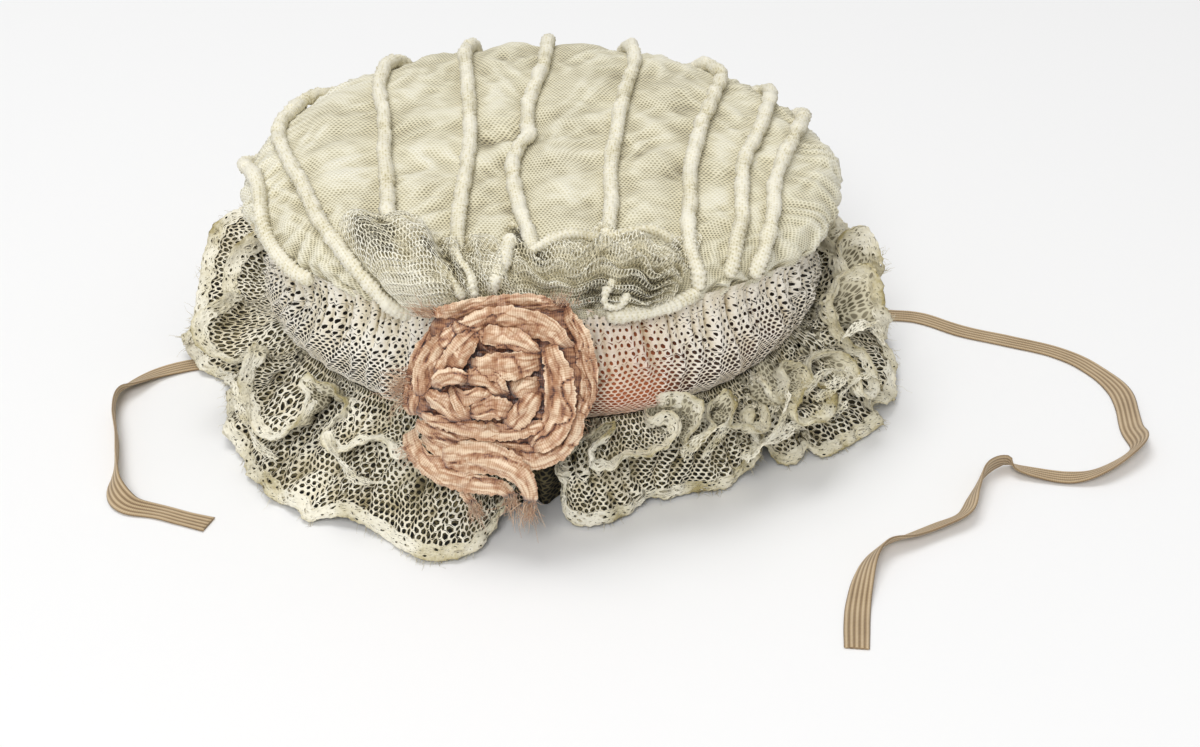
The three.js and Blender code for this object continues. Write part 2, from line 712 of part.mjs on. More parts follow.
add("crown", crown(), "crown_net");
RIBS.forEach((rib, i) => add(`rib_${i + 1}`, ribCord(rib), "rib_net"));
FRONT_CORDS.forEach((places, i) => add(`front_cord_${i + 1}`, frontCord(places), "rib_net"));
SCARF_PUFFS.forEach((puff) => add(puff.name, scarfPuff(puff), "crown_net"));
add("net_band", netBand(), "band_net");
add("silk_band", silkBand(), "silk");
add("ruffle_lower", frill(LOWER_FOLDS, lowerMiddle, [0, 0.3, 0.6, 0.86, 1], true), "frill_net");
add("ruffle_upper", frill(UPPER_FOLDS, upperMiddle, [0, 0.5, 1], false), "frill_net");

const upright = new THREE.Matrix4();
const levelAcross = new THREE.Vector3(0, 0, 1).cross(rosetteFace).normalize();
upright.makeBasis(levelAcross, new THREE.Vector3().crossVectors(rosetteFace, levelAcross), rosetteFace);
const rosetteMesh = add("rosette", rosette(), "ribbon");
rosetteMesh.position.copy(rosetteSeat);
rosetteMesh.setRotationFromMatrix(upright);
const tailMesh = add("ribbon_tail", ribbonTail(), "ribbon");
tailMesh.setRotationFromMatrix(upright);
const tailSeat = new THREE.Vector3(0, -ROSETTE_RADIUS - CLEAR * 3, 0).applyMatrix4(upright);
tailMesh.position.copy(rosetteSeat).add(tailSeat);

// The origin is on the table, under the middle of the hat without its ties.
const bounds = new THREE.Box3().setFromObject(hat, true);
hat.position.set(-(bounds.min.x + bounds.max.x) / 2, -(bounds.min.y + bounds.max.y) / 2, 0);

add("tie_left", tie(TIE_LEFT), "elastic");
add("tie_right", tie(TIE_RIGHT), "elastic");

export default hat;
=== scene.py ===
# %% [markdown]
# # A small child's hat of lace net
# The hat lies on a table on its own frill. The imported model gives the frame: what each piece is, where it
# is and how large. This script dresses that frame, piece by piece, in net, cotton, silk and tape.

# %% Start
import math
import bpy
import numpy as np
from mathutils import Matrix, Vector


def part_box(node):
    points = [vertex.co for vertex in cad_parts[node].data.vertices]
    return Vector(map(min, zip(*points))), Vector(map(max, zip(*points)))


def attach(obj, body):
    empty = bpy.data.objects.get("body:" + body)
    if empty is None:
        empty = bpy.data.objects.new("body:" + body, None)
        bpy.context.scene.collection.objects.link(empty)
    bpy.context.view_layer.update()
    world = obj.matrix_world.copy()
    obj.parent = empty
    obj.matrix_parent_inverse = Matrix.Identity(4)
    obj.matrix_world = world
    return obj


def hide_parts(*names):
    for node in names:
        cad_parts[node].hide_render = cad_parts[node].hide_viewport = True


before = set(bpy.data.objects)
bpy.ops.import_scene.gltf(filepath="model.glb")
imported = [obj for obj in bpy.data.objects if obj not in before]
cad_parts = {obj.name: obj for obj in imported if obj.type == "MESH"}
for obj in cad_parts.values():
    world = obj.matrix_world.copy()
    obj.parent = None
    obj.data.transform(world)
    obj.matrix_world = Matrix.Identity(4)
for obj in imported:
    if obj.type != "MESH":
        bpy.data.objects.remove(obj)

# %% [markdown]
# Lengths are millimetres until a mesh is made, because cloth is cut and pleated in millimetres. The hat
# was drawn round its own head opening, and the frame has its origin under the middle of the whole hat.
# The silk band is round and even, so the middle of its box gives the shift between the two.

MM = 0.001
TURN = 2 * math.pi
bpy.ops.object.select_all(action="DESELECT")
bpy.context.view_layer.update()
silk_low, silk_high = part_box("silk_band")
SHIFT = np.array([(silk_low.x + silk_high.x) / 2, (silk_low.y + silk_high.y) / 2, 0]) / MM
print("shift of the hat in the frame, mm:", SHIFT.round(2))


def metres(points):
    """Places on the hat, in millimetres, as places in the frame, in metres."""
    return (np.asarray(points, float) + SHIFT) * MM


# %% [markdown]
# The photograph looks down on the hat at 32 degrees from about 620 mm away. At that distance a pixel of
# the 1200 pixel wide frame is 0.29 mm, which fixes the lens. The camera aims a little to the right of the
# hat's middle, so that both ties are in view.

# %% Camera
FRAME_WIDTH = 1200
PIXEL = 0.29
DISTANCE = 620
ELEVATION = math.radians(32)
AIM = (16, -3, 0)

aim = Vector(metres(AIM))
eye = aim + Vector((0, -math.cos(ELEVATION), math.sin(ELEVATION))) * DISTANCE * MM
camera = bpy.data.objects.new("camera", bpy.data.cameras.new("camera"))
bpy.context.scene.collection.objects.link(camera)
camera.data.sensor_fit = "HORIZONTAL"
camera.data.angle = 2 * math.atan(FRAME_WIDTH / 2 * PIXEL / DISTANCE)
camera.data.clip_start = 0.01
camera.location = eye
camera.rotation_euler = (aim - eye).to_track_quat("-Z", "Y").to_euler()
bpy.context.scene.camera = camera
print("lens, degrees across:", round(math.degrees(camera.data.angle), 2))

# %% [markdown]
# A smooth curve through a few listed places is the backbone of everything soft here: a tie, a
# hem, a rib. Blender's own curves could do it, but the net has to be laid on the same curve later, so it
# is worked out as points: first a Catmull-Rom curve, then the same curve stepped evenly along its length.


# %% Smooth curves
def through(rows, places, closed=False):
    """The smooth curve through a table's rows, at places that count rows."""
    rows = np.asarray(rows, float)
    places = np.asarray(places, float)
    first = np.floor(places).astype(int)
    if not closed:
        first = np.clip(first, 0, len(rows) - 2)
    part = (places - first)[:, None]
    index = first[:, None] + np.arange(-1, 3)
    index = index % len(rows) if closed else np.clip(index, 0, len(rows) - 1)
    before, here, there, after = (rows[index[:, k]] for k in range(4))
    leave = (there - before) / 2
    arrive = (after - here) / 2
    square = part * part
    cube = square * part
    return (
        here * (2 * cube - 3 * square + 1)
        + leave * (cube - 2 * square + part)
        + there * (3 * square - 2 * cube)
        + arrive * (cube - square)
    )


def lengths_along(points):
    steps = np.linalg.norm(np.diff(points, axis=0), axis=1)
    return np.concatenate([[0], np.cumsum(steps)])


def unit(ways):
    """Directions of any length, made 1 long."""
    return ways / np.linalg.norm(ways, axis=-1, keepdims=True)


FINE_STEPS = 24


def evenly(rows, step, closed=False):
    """The smooth curve through rows, as points about one step apart. Also gives its length."""
    count = len(rows) if closed else len(rows) - 1
    fine = through(rows, np.linspace(0, count, count * FINE_STEPS + 1), closed)
    run = lengths_along(fine[:, :3])
    number = max(int(round(run[-1] / step)), 2)
    places = np.linspace(0, run[-1], number + 1)
    points = np.stack([np.interp(places, run, column) for column in fine.T], 1)
    return (points[:-1] if closed else points), run[-1]


# %% [markdown]
# Every piece ends the same way: its points and faces become a mesh at the origin, with a UV map in metres
# along the cloth, a few numbers at each point for its colour, a material, and its place in the frame.


# %% Making a piece
def set_uv(mesh, layer, uv):
    """Fills a UV layer from one place along the cloth, in mm, for each point."""
    corners = np.zeros(len(mesh.loops), np.int32)
    mesh.loops.foreach_get("vertex_index", corners)
    layer.data.foreach_set("uv", (np.reshape(uv, (-1, 2)) * MM)[corners].ravel())


def set_values(mesh, key, numbers):
    """Keeps a number at each point of a mesh, for its material to read."""
    attribute = mesh.attributes.new(key, "FLOAT", "POINT")
    attribute.data.foreach_set("value", np.ravel(numbers).astype(np.float32))


def declare(piece, node_name):
    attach(piece, "root")
    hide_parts(node_name)


def make_piece(name, points, faces, uv, material, slot, node_name, **values):
    """points and uv may be grids. values are numbers at each point, by the name that the material reads."""
    mesh = bpy.data.meshes.new(name)
    corners = faces.tolist() if isinstance(faces, np.ndarray) else faces
    mesh.from_pydata(metres(points).reshape(-1, 3).tolist(), [], corners)
    set_uv(mesh, mesh.uv_layers.new(name="cloth"), uv)
    for key, numbers in values.items():
        set_values(mesh, key, numbers)
    mesh.polygons.foreach_set("use_smooth", [True] * len(mesh.polygons))
    mesh.materials.append(material)
    piece = bpy.data.objects.new(name, mesh)
    bpy.context.scene.collection.objects.link(piece)
    declare(piece, node_name)
    mesh.calc_loop_triangles()
    print(name, len(mesh.loop_triangles), "triangles")
    return piece


def grid_faces(columns, rows, closed=False):
    """The quads of a grid of points, columns along and rows across. A closed grid meets itself."""
    along = columns if closed else columns - 1
    i, j = (k.ravel() for k in np.meshgrid(np.arange(along), np.arange(rows - 1), indexing="ij"))
    here = i * rows + j
    onward = (i + 1) % columns * rows + j
    return np.stack([here, onward, onward + 1, here + 1], 1)


# %% [markdown]
# Colours are given as they are read off a screen, in hex, and turned to the linear numbers that the
# shader wants. One function adds a node, sets it and wires it, and each material is then a short list of
# nodes.


# %% Colours and nodes
def linear(code):
    parts = [int(code[k : k + 2], 16) / 255 for k in (1, 3, 5)]
    return tuple(c / 12.92 if c <= 0.04045 else ((c + 0.055) / 1.055) ** 2.4 for c in parts) + (1,)


def wire(material, made, ends):
    """Fills in a node's inputs, by name or number: an end is a value or another node's output."""
    for key, end in ends.items():
        if isinstance(end, bpy.types.NodeSocket):
            material.node_tree.links.new(end, made.inputs[key])
        else:
            made.inputs[key].default_value = end


def node(material, kind, out, ends=None, stops=(), **options):
    """Adds a node and gives its output called out. Its ends are its inputs, its options are its settings,
    and a colour ramp has stops, as (place, hex) pairs."""
    made = material.node_tree.nodes.new("ShaderNode" + kind)
    for key, value in options.items():
        setattr(made, key, value)
    while stops and len(made.color_ramp.elements) < len(stops):
        made.color_ramp.elements.new(1)
    for k, (place, code) in enumerate(stops):
        made.color_ramp.elements[k].position = place
        made.color_ramp.elements[k].color = linear(code)
    wire(material, made, ends or {})
    return made.outputs[out]


def new_material(name, roughness, sheen=0.0, ior=1.5):
    material = bpy.data.materials.new(name)
    material.use_nodes = True
    shader = material.node_tree.nodes["Principled BSDF"]
    ends = {"Roughness": roughness, "IOR": ior, "Sheen Weight": sheen, "Sheen Roughness": 0.5}
    wire(material, shader, ends)
    return material, shader


def wave_scale(pitch):
    """The scale at which a wave texture has one band each pitch mm."""
    return TURN / (pitch * MM) / 20


# %% [markdown]
# The ties are quarter inch woven tape, tan, with five thick warp cords along it. They lie on the table,
# and where the tape was folded for years it still turns up onto its edge. Their route is the one the
# model gives, so the same places are repeated here, with the height of the lower edge and the roll of the
# tape from flat, 0, to on its edge, 90.

# %% Routes of the ties
TIE_WIDTH = 6.4
TIE_WALL = 0.8
TIE_LEFT = [
    (-75.8, 2, 15.9, 0), (-79, 2, 13.2, 0), (-86, 1.8, 5, 0), (-94, 1.6, 0.4, 0), (-103, 0.9, 0, 0),
    (-112.4, -4.6, 0, 8), (-118.8, -13.8, 0.2, 35), (-120.6, -20.6, 0, 75), (-119.3, -30.4, 0, 90),
    (-116.3, -41.9, 0, 90), (-114.2, -54.4, 0, 80), (-112.8, -64.2, 0.2, 45), (-108.3, -70.1, 0.2, 15),
    (-100.6, -71.9, 0, 0), (-92.7, -75.1, 0, 0), (-85.8, -77.7, 0, 0),
]
TIE_RIGHT = [
    (76.2, 27, 7.7, 0), (79.5, 28, 4.9, 0), (86, 29.2, 1.4, 0), (94, 30.2, 0, 0), (104.1, 29.6, 0, 0),
    (113, 27.8, 0, 0), (124.3, 20.2, 0, 0), (137.4, 14.4, 0, 0), (150.2, 8.1, 0, 0), (158.8, -0.8, 0, 0),
    (164.3, -14.8, 0, 10), (163.5, -33.4, 0, 20), (162.8, -44.8, 0.3, 50), (151.4, -55.3, 0.3, 30),
    (141.7, -56.8, 0, 5), (129.5, -53.9, 0, 20), (125, -52.6, 0.2, 60), (119.3, -57.2, 0.2, 80),
    (114.6, -67.4, 0, 60), (111, -75.5, 0, 40), (103.6, -80.3, 0, 30), (95.8, -85.1, 0, 35),
    (88.5, -89.8, 0.2, 55), (83.4, -97.8, 0.2, 40), (79.6, -112.4, 0, 5), (77.7, -128.2, 0, 0),
]

# %% [markdown]
# Tape is woven over and under stout warp cords, so it looks like five soft ribs with a fine weft across
# them. The grooves between the ribs are painted darker, which is painted shade. The ribs are modelled,
# and the weft is too fine for the mesh, so it is bump. Tea brown stains drift along it, which keeps the
# tan from looking dyed.

# %% Woven cotton tape
WEFT_PITCH = 0.5
tape, tape_shader = new_material("woven cotton tape, tea stained", roughness=0.85, sheen=0.2)
tape_uv = node(tape, "UVMap", "UV", uv_map="cloth")
# Painted shade: the rib value lightens the tops of the ribs and darkens the grooves between them.
rib_light_and_groove_shade = node(tape, "Attribute", "Fac", attribute_name="rib")
tea_stain = node(tape, "TexNoise", "Fac", {"Scale": 90.0, "Detail": 5.0, "Vector": tape_uv})
weft_ends = {"Scale": wave_scale(WEFT_PITCH), "Distortion": 1.5, "Detail": 2.0, "Vector": tape_uv}
weft = node(tape, "TexWave", "Fac", weft_ends, bands_direction="X")
tape_tone = node(tape, "Math", "Value", {0: tea_stain, 1: 0.45, 2: rib_light_and_groove_shade}, operation="MULTIPLY_ADD")
tape_tone = node(tape, "Math", "Value", {0: weft, 1: 0.16, 2: tape_tone}, operation="MULTIPLY_ADD")
tape_stops = [(0.1, "#5d4a33"), (0.42, "#8f7757"), (0.75, "#b59c79"), (1.0, "#cdb795")]
tape_colour = node(tape, "ValToRGB", "Color", {"Fac": tape_tone}, tape_stops)
tape_bump = node(tape, "Bump", "Normal", {"Strength": 0.5, "Distance": 0.0002, "Height": weft})
wire(tape, tape_shader, {"Base Color": tape_colour, "Normal": tape_bump})

# %% [markdown]
# A tie is a flat closed tube. At each step along the route its cross section, with five ribs on each
# face, is laid across the route, rolled by the angle in the table and lifted until its lower edge is
# where the table says. Its length is measured along the middle, and is the length that the cord is said
# to have.

# %% The two ties
TAPE_RIBS = 5
TAPE_POINTS = 20
TIE_STEP = 1.1
WIDTH_KNOTS = 6
TABLE_GAP = 0.02


def tube_faces(rings, sides):
    """Quads round a tube of rings, with a cap at each end."""
    side, ring = np.meshgrid(np.arange(sides), np.arange(rings - 1), indexing="ij")
    here = ring * sides + side
    onward = ring * sides + (side + 1) % sides
    quads = np.stack([here, onward, onward + sides, here + sides], -1).reshape(-1, 4).tolist()
    start = list(range(sides))
    return quads + [start[::-1], [k + (rings - 1) * sides for k in start]]


def lay_tie(name, rows, seed):
    """A flat closed tube of tape along its route, with a rib for each warp cord."""
    places, length = evenly(rows, TIE_STEP)
    roll = np.radians(places[:, 3])
    lift = (TIE_WIDTH * np.abs(np.sin(roll)) + TIE_WALL * np.abs(np.cos(roll))) / 2
    middle = places[:, :3].copy()
    middle[:, 2] = np.maximum(middle[:, 2] + lift, lift)
    forward = unit(np.gradient(middle, axis=0))
    level = unit(np.cross([0, 0, 1.0], forward))
    up = np.cross(forward, level)
    across = level * np.cos(roll)[:, None] + up * np.sin(roll)[:, None]
    out = np.cross(forward, across)
    share = np.concatenate([np.linspace(-1, 1, TAPE_POINTS), np.linspace(1, -1, TAPE_POINTS)[1:-1]])
    side = np.where(np.arange(len(share)) < TAPE_POINTS, -1.0, 1.0)
    rib = 0.5 + 0.5 * np.cos(share * math.pi * TAPE_RIBS + math.pi * (TAPE_RIBS + 1))
    edge = np.sqrt(np.clip(1 - np.abs(share) ** 10, 0, 1))
    rng = np.random.default_rng(seed)
    knots = np.arange(0, len(middle) + WIDTH_KNOTS, WIDTH_KNOTS)
    wander = np.interp(np.arange(len(middle)), knots, rng.uniform(-1, 1, len(knots)))
    width = TIE_WIDTH / 2 * (1 + 0.04 * wander)
    height = side * TIE_WALL / 2 * (0.55 + 0.45 * rib) * edge
    points = middle[:, None] + across[:, None] * (share * width[:, None])[..., None]
    points += out[:, None] * height[:, None]
    points[..., 2] = np.maximum(points[..., 2], TABLE_GAP)
    uv = np.stack(np.broadcast_arrays(lengths_along(middle)[:, None], share * TIE_WIDTH / 2), -1)
    # Painted shade: the same rib profile that shapes the tape keeps its grooves darker.
    ribs = np.broadcast_to(rib * 0.75, uv.shape[:2])
    piece = make_piece(name, points, tube_faces(*uv.shape[:2]), uv, tape, "elastic", name, rib=ribs)
    print(name, "length, mm:", round(length, 1))


lay_tie("tie_left", TIE_LEFT, 3)
lay_tie("tie_right", TIE_RIGHT, 4)

# %% [markdown]
# Old net is never smooth. Its crumple is a sum of waves of about one size that run every way, worked out
# from the place in space, so it is the same each time and neighbouring pieces agree.


# %% Crumple
def crumple(seed, size, waves=10):
    """Gives a function of points: a height from about -1 to 1 that varies over about size millimetres."""
    rng = np.random.default_rng(seed)
    way = rng.normal(size=(waves, 3))
    way /= np.linalg.norm(way, axis=1)[:, None]
    way *= (TURN / size * rng.uniform(0.7, 1.4, waves))[:, None]
    phase = rng.uniform(0, TURN, waves)
    return lambda points: np.sin(points @ way.T + phase).sum(-1) / (waves * 0.5) ** 0.5 / 1.6


def creased(height):
    """Turns soft waves into sharp ridges between broad hollows."""
    return 1 - 2 * np.sqrt(np.abs(height) + 0.02)


# %% [markdown]
# Bobbin net is a honeycomb of fine cotton threads. One cell is modelled: a hexagon, its faces
# inset, and the middle taken out, which leaves six strips of thread round a hole. The inner corners
# belong to the cell and the outer ones are shared with its neighbours. The net is then this cell copied
# over a lattice, which is laid on any sheet of cloth, so the holes stretch and close as the cloth does.


# %% One cell of net
def model_cell():
    bpy.ops.mesh.primitive_circle_add(vertices=6, radius=1 / math.sqrt(3), fill_type="NGON")
    cell = bpy.context.object
    bpy.ops.object.mode_set(mode="EDIT")
    bpy.ops.mesh.select_all(action="SELECT")
    bpy.ops.mesh.inset(thickness=0.12, depth=0)
    bpy.ops.mesh.delete(type="FACE")
    bpy.ops.object.mode_set(mode="OBJECT")
    points = np.array([v.co[:2] for v in cell.data.vertices])
    faces = np.array([list(f.vertices) for f in cell.data.polygons])
    mesh = cell.data
    bpy.data.objects.remove(cell)
    bpy.data.meshes.remove(mesh)
    return points, faces


cell_points, cell_faces = model_cell()
reach = np.linalg.norm(cell_points, axis=1)
cell_outer = reach > 0.5
print("cell of net:", len(cell_points), "points,", len(cell_faces), "faces,", int(cell_outer.sum()), "outer")

# %% [markdown]
# A sheet of cloth is kept as a grid of points. Anything that lies on it asks the grid for the place at a
# spot along and across it.


# %% Sheets
def grid_normals(grid, closed=False):
    if closed:
        along = np.roll(grid, -1, 0) - np.roll(grid, 1, 0)
    else:
        along = np.gradient(grid, axis=0)
    normal = np.cross(along, np.gradient(grid, axis=1))
    return normal / np.maximum(np.linalg.norm(normal, axis=2), 1e-9)[..., None]


def sample(grid, u, v, closed=False):
    """Places on a grid at u along and v across, both from 0 to 1."""
    columns, rows = grid.shape[:2]
    u = np.asarray(u) * (columns if closed else columns - 1)
    v = np.clip(np.asarray(v), 0, 1) * (rows - 1)
    i = np.floor(u).astype(int)
    if not closed:
        i = np.clip(i, 0, columns - 2)
    j = np.clip(np.floor(v).astype(int), 0, rows - 2)
    a = (u - i)[..., None]
    b = (v - j)[..., None]
    here, onward = i % columns, (i + 1) % columns
    near = grid[here, j] * (1 - a) + grid[onward, j] * a
    far = grid[here, j + 1] * (1 - a) + grid[onward, j + 1] * a
    return near * (1 - b) + far * b


def blur(grid, times, closed=False):
    """A grid softened along and across, in so many small steps."""
    soft = np.array(grid, float)
    for _ in range(times):
        ends = [soft[-1:], soft, soft[:1]] if closed else [soft[:1], soft, soft[-1:]]
        long = np.concatenate(ends)
        wide = np.concatenate([soft[:, :1], soft, soft[:, -1:]], 1)
        soft = soft * 0.4 + (long[:-2] + long[2:]) * 0.15 + (wide[:, :-2] + wide[:, 2:]) * 0.15
    return soft


def hollows(grid, times, closed=False):
    """How far each place on a sheet lies below the sheet round it, in mm. Shade is painted there."""
    return -((grid - blur(grid, times, closed)) * grid_normals(grid, closed)).sum(-1)


THREAD_RISE = 0.14
ROW_STEP = math.sqrt(0.75)
NET_CELL = 1.7
HOLE_LIMITS = (0.12, 0.85)
NO_WRAP = 10**6
KEY_STEP = 100003


def lay_net(grid, columns, rows, hole, closed=False, seed=1):
    """Copies the cell of net over a grid. hole(u, v) is a cell's open share across. Gives the points, faces,
    a UV for each point and its (u, v). Outer points that meet are one point, found by a key of its place."""
    rng = np.random.default_rng(seed)
    i, j = (k.ravel() for k in np.meshgrid(np.arange(columns), np.arange(rows), indexing="ij"))
    middle = np.stack([i + 0.5 * (j % 2) + (0 if closed else 0.25), (j + 0.5) * ROW_STEP], 1)
    span = np.array([columns if closed else columns + 0.5, (rows + 0.34) * ROW_STEP])
    share = hole(*(middle / span).T) * (1 + rng.uniform(-0.08, 0.08, len(middle)))
    share = np.clip(share, *HOLE_LIMITS)
    shape = np.where(cell_outer, 1.0, share[:, None] / (reach[~cell_outer].mean() * math.sqrt(3)))
    spots = middle[:, None] + cell_points * shape[..., None]
    half = np.round(spots[..., 0] * 2).astype(int) % (2 * columns if closed else NO_WRAP)
    third = np.round(spots[..., 1] * math.sqrt(12)).astype(int)
    number = np.arange(third.size).reshape(third.shape)
    key = np.where(cell_outer, half * KEY_STEP + third, -1 - number)
    first, back = np.unique(key.ravel(), return_index=True, return_inverse=True)[1:]
    flat = spots.reshape(-1, 2)[first]
    raised = np.broadcast_to(cell_outer, key.shape).ravel()[first]
    faces = back.reshape(key.shape)[:, cell_faces].reshape(-1, cell_faces.shape[1])
    shared = rng.normal(0, 0.05, flat.shape) * raised[:, None]
    u, v = ((flat + shared) / span).T
    if not closed:
        u = np.clip(u, 0, 1)
    points = sample(grid, u, v, closed)
    points += sample(grid_normals(grid, closed), u, v, closed) * (THREAD_RISE * raised)[:, None]
    return points, faces, flat * NET_CELL, (u, v)


# %% [markdown]
# Cotton net thread is soft and matt, cream where it is clean and greyer or tea yellow where it is not. A
# thread is thin enough for light to come through, so a little of it is let through each strip. Fine fibre
# bump takes the plastic edge off it. Stains drift over it, and its folds are painted dark, which is
# painted shade.


# %% Materials of net
def honeycomb(material, vector, pitch, inner, outer):
    """1 on the threads of a net that is too fine to model and 0 in its holes, from places in metres. Two
    rectangular lattices of holes, one between the other, make the honeycomb."""
    scale_ends = {0: vector, "Scale": 1 / (pitch * MM)}
    scaled = node(material, "VectorMath", "Vector", scale_ends, operation="SCALE")
    lattices = {}
    for k, shift in enumerate([(0, 0, 0), (0.5, ROW_STEP, 0)]):
        moved = node(material, "VectorMath", "Vector", {0: scaled, 1: shift}, operation="ADD")
        wrap = {0: moved, 1: (0.5, ROW_STEP, 1), 2: (-0.5, -ROW_STEP, -1)}
        wrapped = node(material, "VectorMath", "Vector", wrap, operation="WRAP")
        lattices[k] = node(material, "VectorMath", "Value", {0: wrapped}, operation="LENGTH")
    away = node(material, "Math", "Value", lattices, operation="MINIMUM")
    return node(material, "MapRange", "Result", {"Value": away, "From Min": inner, "From Max": outer})


def net_material(name, shades, stain_size, translucence=0.08, fine_pitch=None, painted_bounce_colour=None):
    """Matt cotton thread whose colour drifts between four shades, dark to light, over about stain_size mm.
    Where its stain value is high it goes dark: in folds and hollows this is painted shade, elsewhere stain."""
    material, shader = new_material(name, roughness=0.9, sheen=0.15)
    place = node(material, "TexCoord", "Object")
    drift_ends = {"Scale": 1 / (stain_size * MM), "Detail": 4.0, "Roughness": 0.6, "Vector": place}
    drift = node(material, "TexNoise", "Fac", drift_ends)
    fibre = node(material, "TexNoise", "Fac", {"Scale": 1 / (0.7 * MM), "Detail": 3.0, "Vector": place})
    # The stain value holds real stains and also painted shade in folds and hollows.
    stained = node(material, "Attribute", "Fac", attribute_name="stain")
    tone = node(material, "Math", "Value", {0: fibre, 1: 0.35, 2: drift}, operation="MULTIPLY_ADD")
    tone = node(material, "Math", "Value", {0: tone, 1: stained}, operation="SUBTRACT")
    lift = 0
    if fine_pitch:
        lift = 0.22
        holes = honeycomb(material, node(material, "UVMap", "UV", uv_map="cloth"), fine_pitch, 0.16, 0.34)
        tone = node(material, "Math", "Value", {0: holes, 1: 0.3, 2: tone}, operation="MULTIPLY_ADD")
    places = (0.0, 0.28 + lift / 2, 0.5 + lift, 0.78 + lift)
    colour = node(material, "ValToRGB", "Color", {"Fac": tone}, list(zip(places, shades)))
    # Painted reflection: where the bounce share is high the thread colour is mixed toward a pink tint.
    if painted_bounce_colour:
        blushed = node(material, "Attribute", "Fac", attribute_name="blush")
        colour = node(material, "Mix", 2, {"Factor": blushed, 6: colour, 7: linear(painted_bounce_colour)}, data_type="RGBA")
    bump = node(material, "Bump", "Normal", {"Strength": 0.6, "Distance": 0.0002, "Height": fibre})
    wire(material, shader, {"Base Color": colour, "Normal": bump})
    glow = node(material, "BsdfTranslucent", "BSDF", {"Color": colour})
    mixed = node(material, "MixShader", "Shader", {"Fac": translucence, 1: shader.outputs["BSDF"], 2: glow})
    wire(material, material.node_tree.nodes["Material Output"], {"Surface": mixed})
    return material


frill_net = net_material(
    "bobbin net of cotton thread, aged grey", ["#3d3322", "#ab9e79", "#e6dcc1", "#fbf5e2"], 16
)
hem_net = net_material(
    "folded hem of cotton net, aged grey", ["#4d4126", "#b0a272", "#dfd7bb", "#f5f0de"], 11
)
band_thread = net_material(
    "bobbin net of cotton thread, cream", ["#44392a", "#b3a585", "#ebe2cc", "#fbf6e9"], 20, painted_bounce_colour="#d9a283"
)
scarf_net = net_material(
    "bobbin net of cotton thread, cream yellow", ["#4a422b", "#b9ae8a", "#ebe4ca", "#f9f5e4"], 12
)

# %% [markdown]
# The band, the crown and the frills take their form from the same few sizes as the frame: the head
# opening, the foot of the band, the seam where the crown starts and the crown's overhang. They are read
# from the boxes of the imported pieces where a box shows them.

# %% Sizes that the pieces share
HEAD_RX = (silk_high.x - silk_low.x) / 2 / MM - 1
HEAD_RY = (silk_high.y - silk_low.y) / 2 / MM - 1
BAND_FOOT = silk_low.z / MM
BAND_TOP = 51
BAND_LEAN = 5
BAND_BULGE = 7.5
BAND_RX = HEAD_RX + 2.15
BAND_RY = HEAD_RY + 2.15
RIM_RX = HEAD_RX - 0.8
RIM_RY = HEAD_RY - 2.4
CROWN_RX = HEAD_RX + 12
CROWN_RY = HEAD_RY + 10
CROWN_TOP = 73
CROWN_RAKE = 0.05
print("head opening, mm:", round(HEAD_RX * 2, 1), "by", round(HEAD_RY * 2, 1), "foot", round(BAND_FOOT, 1))


def round_hat(angle, across, deep, height):
    """Places at an angle round the hat, on an oval that is so far across and deep, at a height."""
    return np.stack(np.broadcast_arrays(np.cos(angle) * across, np.sin(angle) * deep, height), -1)


def seam_height(angle):
    return BAND_TOP - BAND_LEAN * np.sin(angle)


def band_surface(angle, share, offset=0.0):
    """The band's outside, from its foot, 0, to the seam under the crown, 1."""
    face = (1 - np.sin(angle)) / 2
    bulge = BAND_BULGE * (0.4 + 0.6 * face) * np.sin(math.pi * share**0.8) + offset
    top = seam_height(angle) - 1.9
    return round_hat(
        angle,
        BAND_RX + (RIM_RX - BAND_RX) * share**2 + bulge,
        BAND_RY + (RIM_RY - BAND_RY) * share**2 + bulge,
        BAND_FOOT + (top - BAND_FOOT) * share,
    )


# %% [markdown]
# The band is a soft roll of wadding under faded silk, with net drawn over it on the bias. Both follow one
# grid, whose folds lean to the right as they rise and whose top is gathered in under the edge of the
# crown.

# %% Diagonal folds of the band
FOLD_COUNT = 36
BAND_COLUMNS = 900
BAND_ROWS = 60
BAND_ROUND = 72
FOLD_DEPTH = 0.8
LIP_START = 0.62


def near_angle(angle, place, width):
    """1 at a place in degrees round the hat, falling to 0 over about width degrees."""
    away = (np.degrees(angle) - place + 180) % 360 - 180
    return np.exp(-((away / width) ** 2))


def band_folds(angle, share):
    """Folds lean to the right as they rise. They are pulled out flat where the silk shows pink."""
    points = round_hat(angle, BAND_ROUND, BAND_ROUND, share * 26)
    drift = crumple(21, 26)(points) * 1.6
    lean = angle * FOLD_COUNT - share * 3.4 + drift
    fold = creased(np.sin(lean) * 0.9) * 0.75
    calm = 1 - 0.85 * near_angle(angle, -74, 9)
    edge = np.sin(math.pi * np.clip(share, 0.02, 0.98)) ** 0.6
    gathers = np.sin(angle * 190 + drift * 2) * 0.3 * (1 - np.sin(math.pi * share))
    puckers = crumple(22, 7)(points) * 0.45 + crumple(23, 16)(points) * 1.2
    return (fold * calm * 1.7 + puckers) * edge + gathers


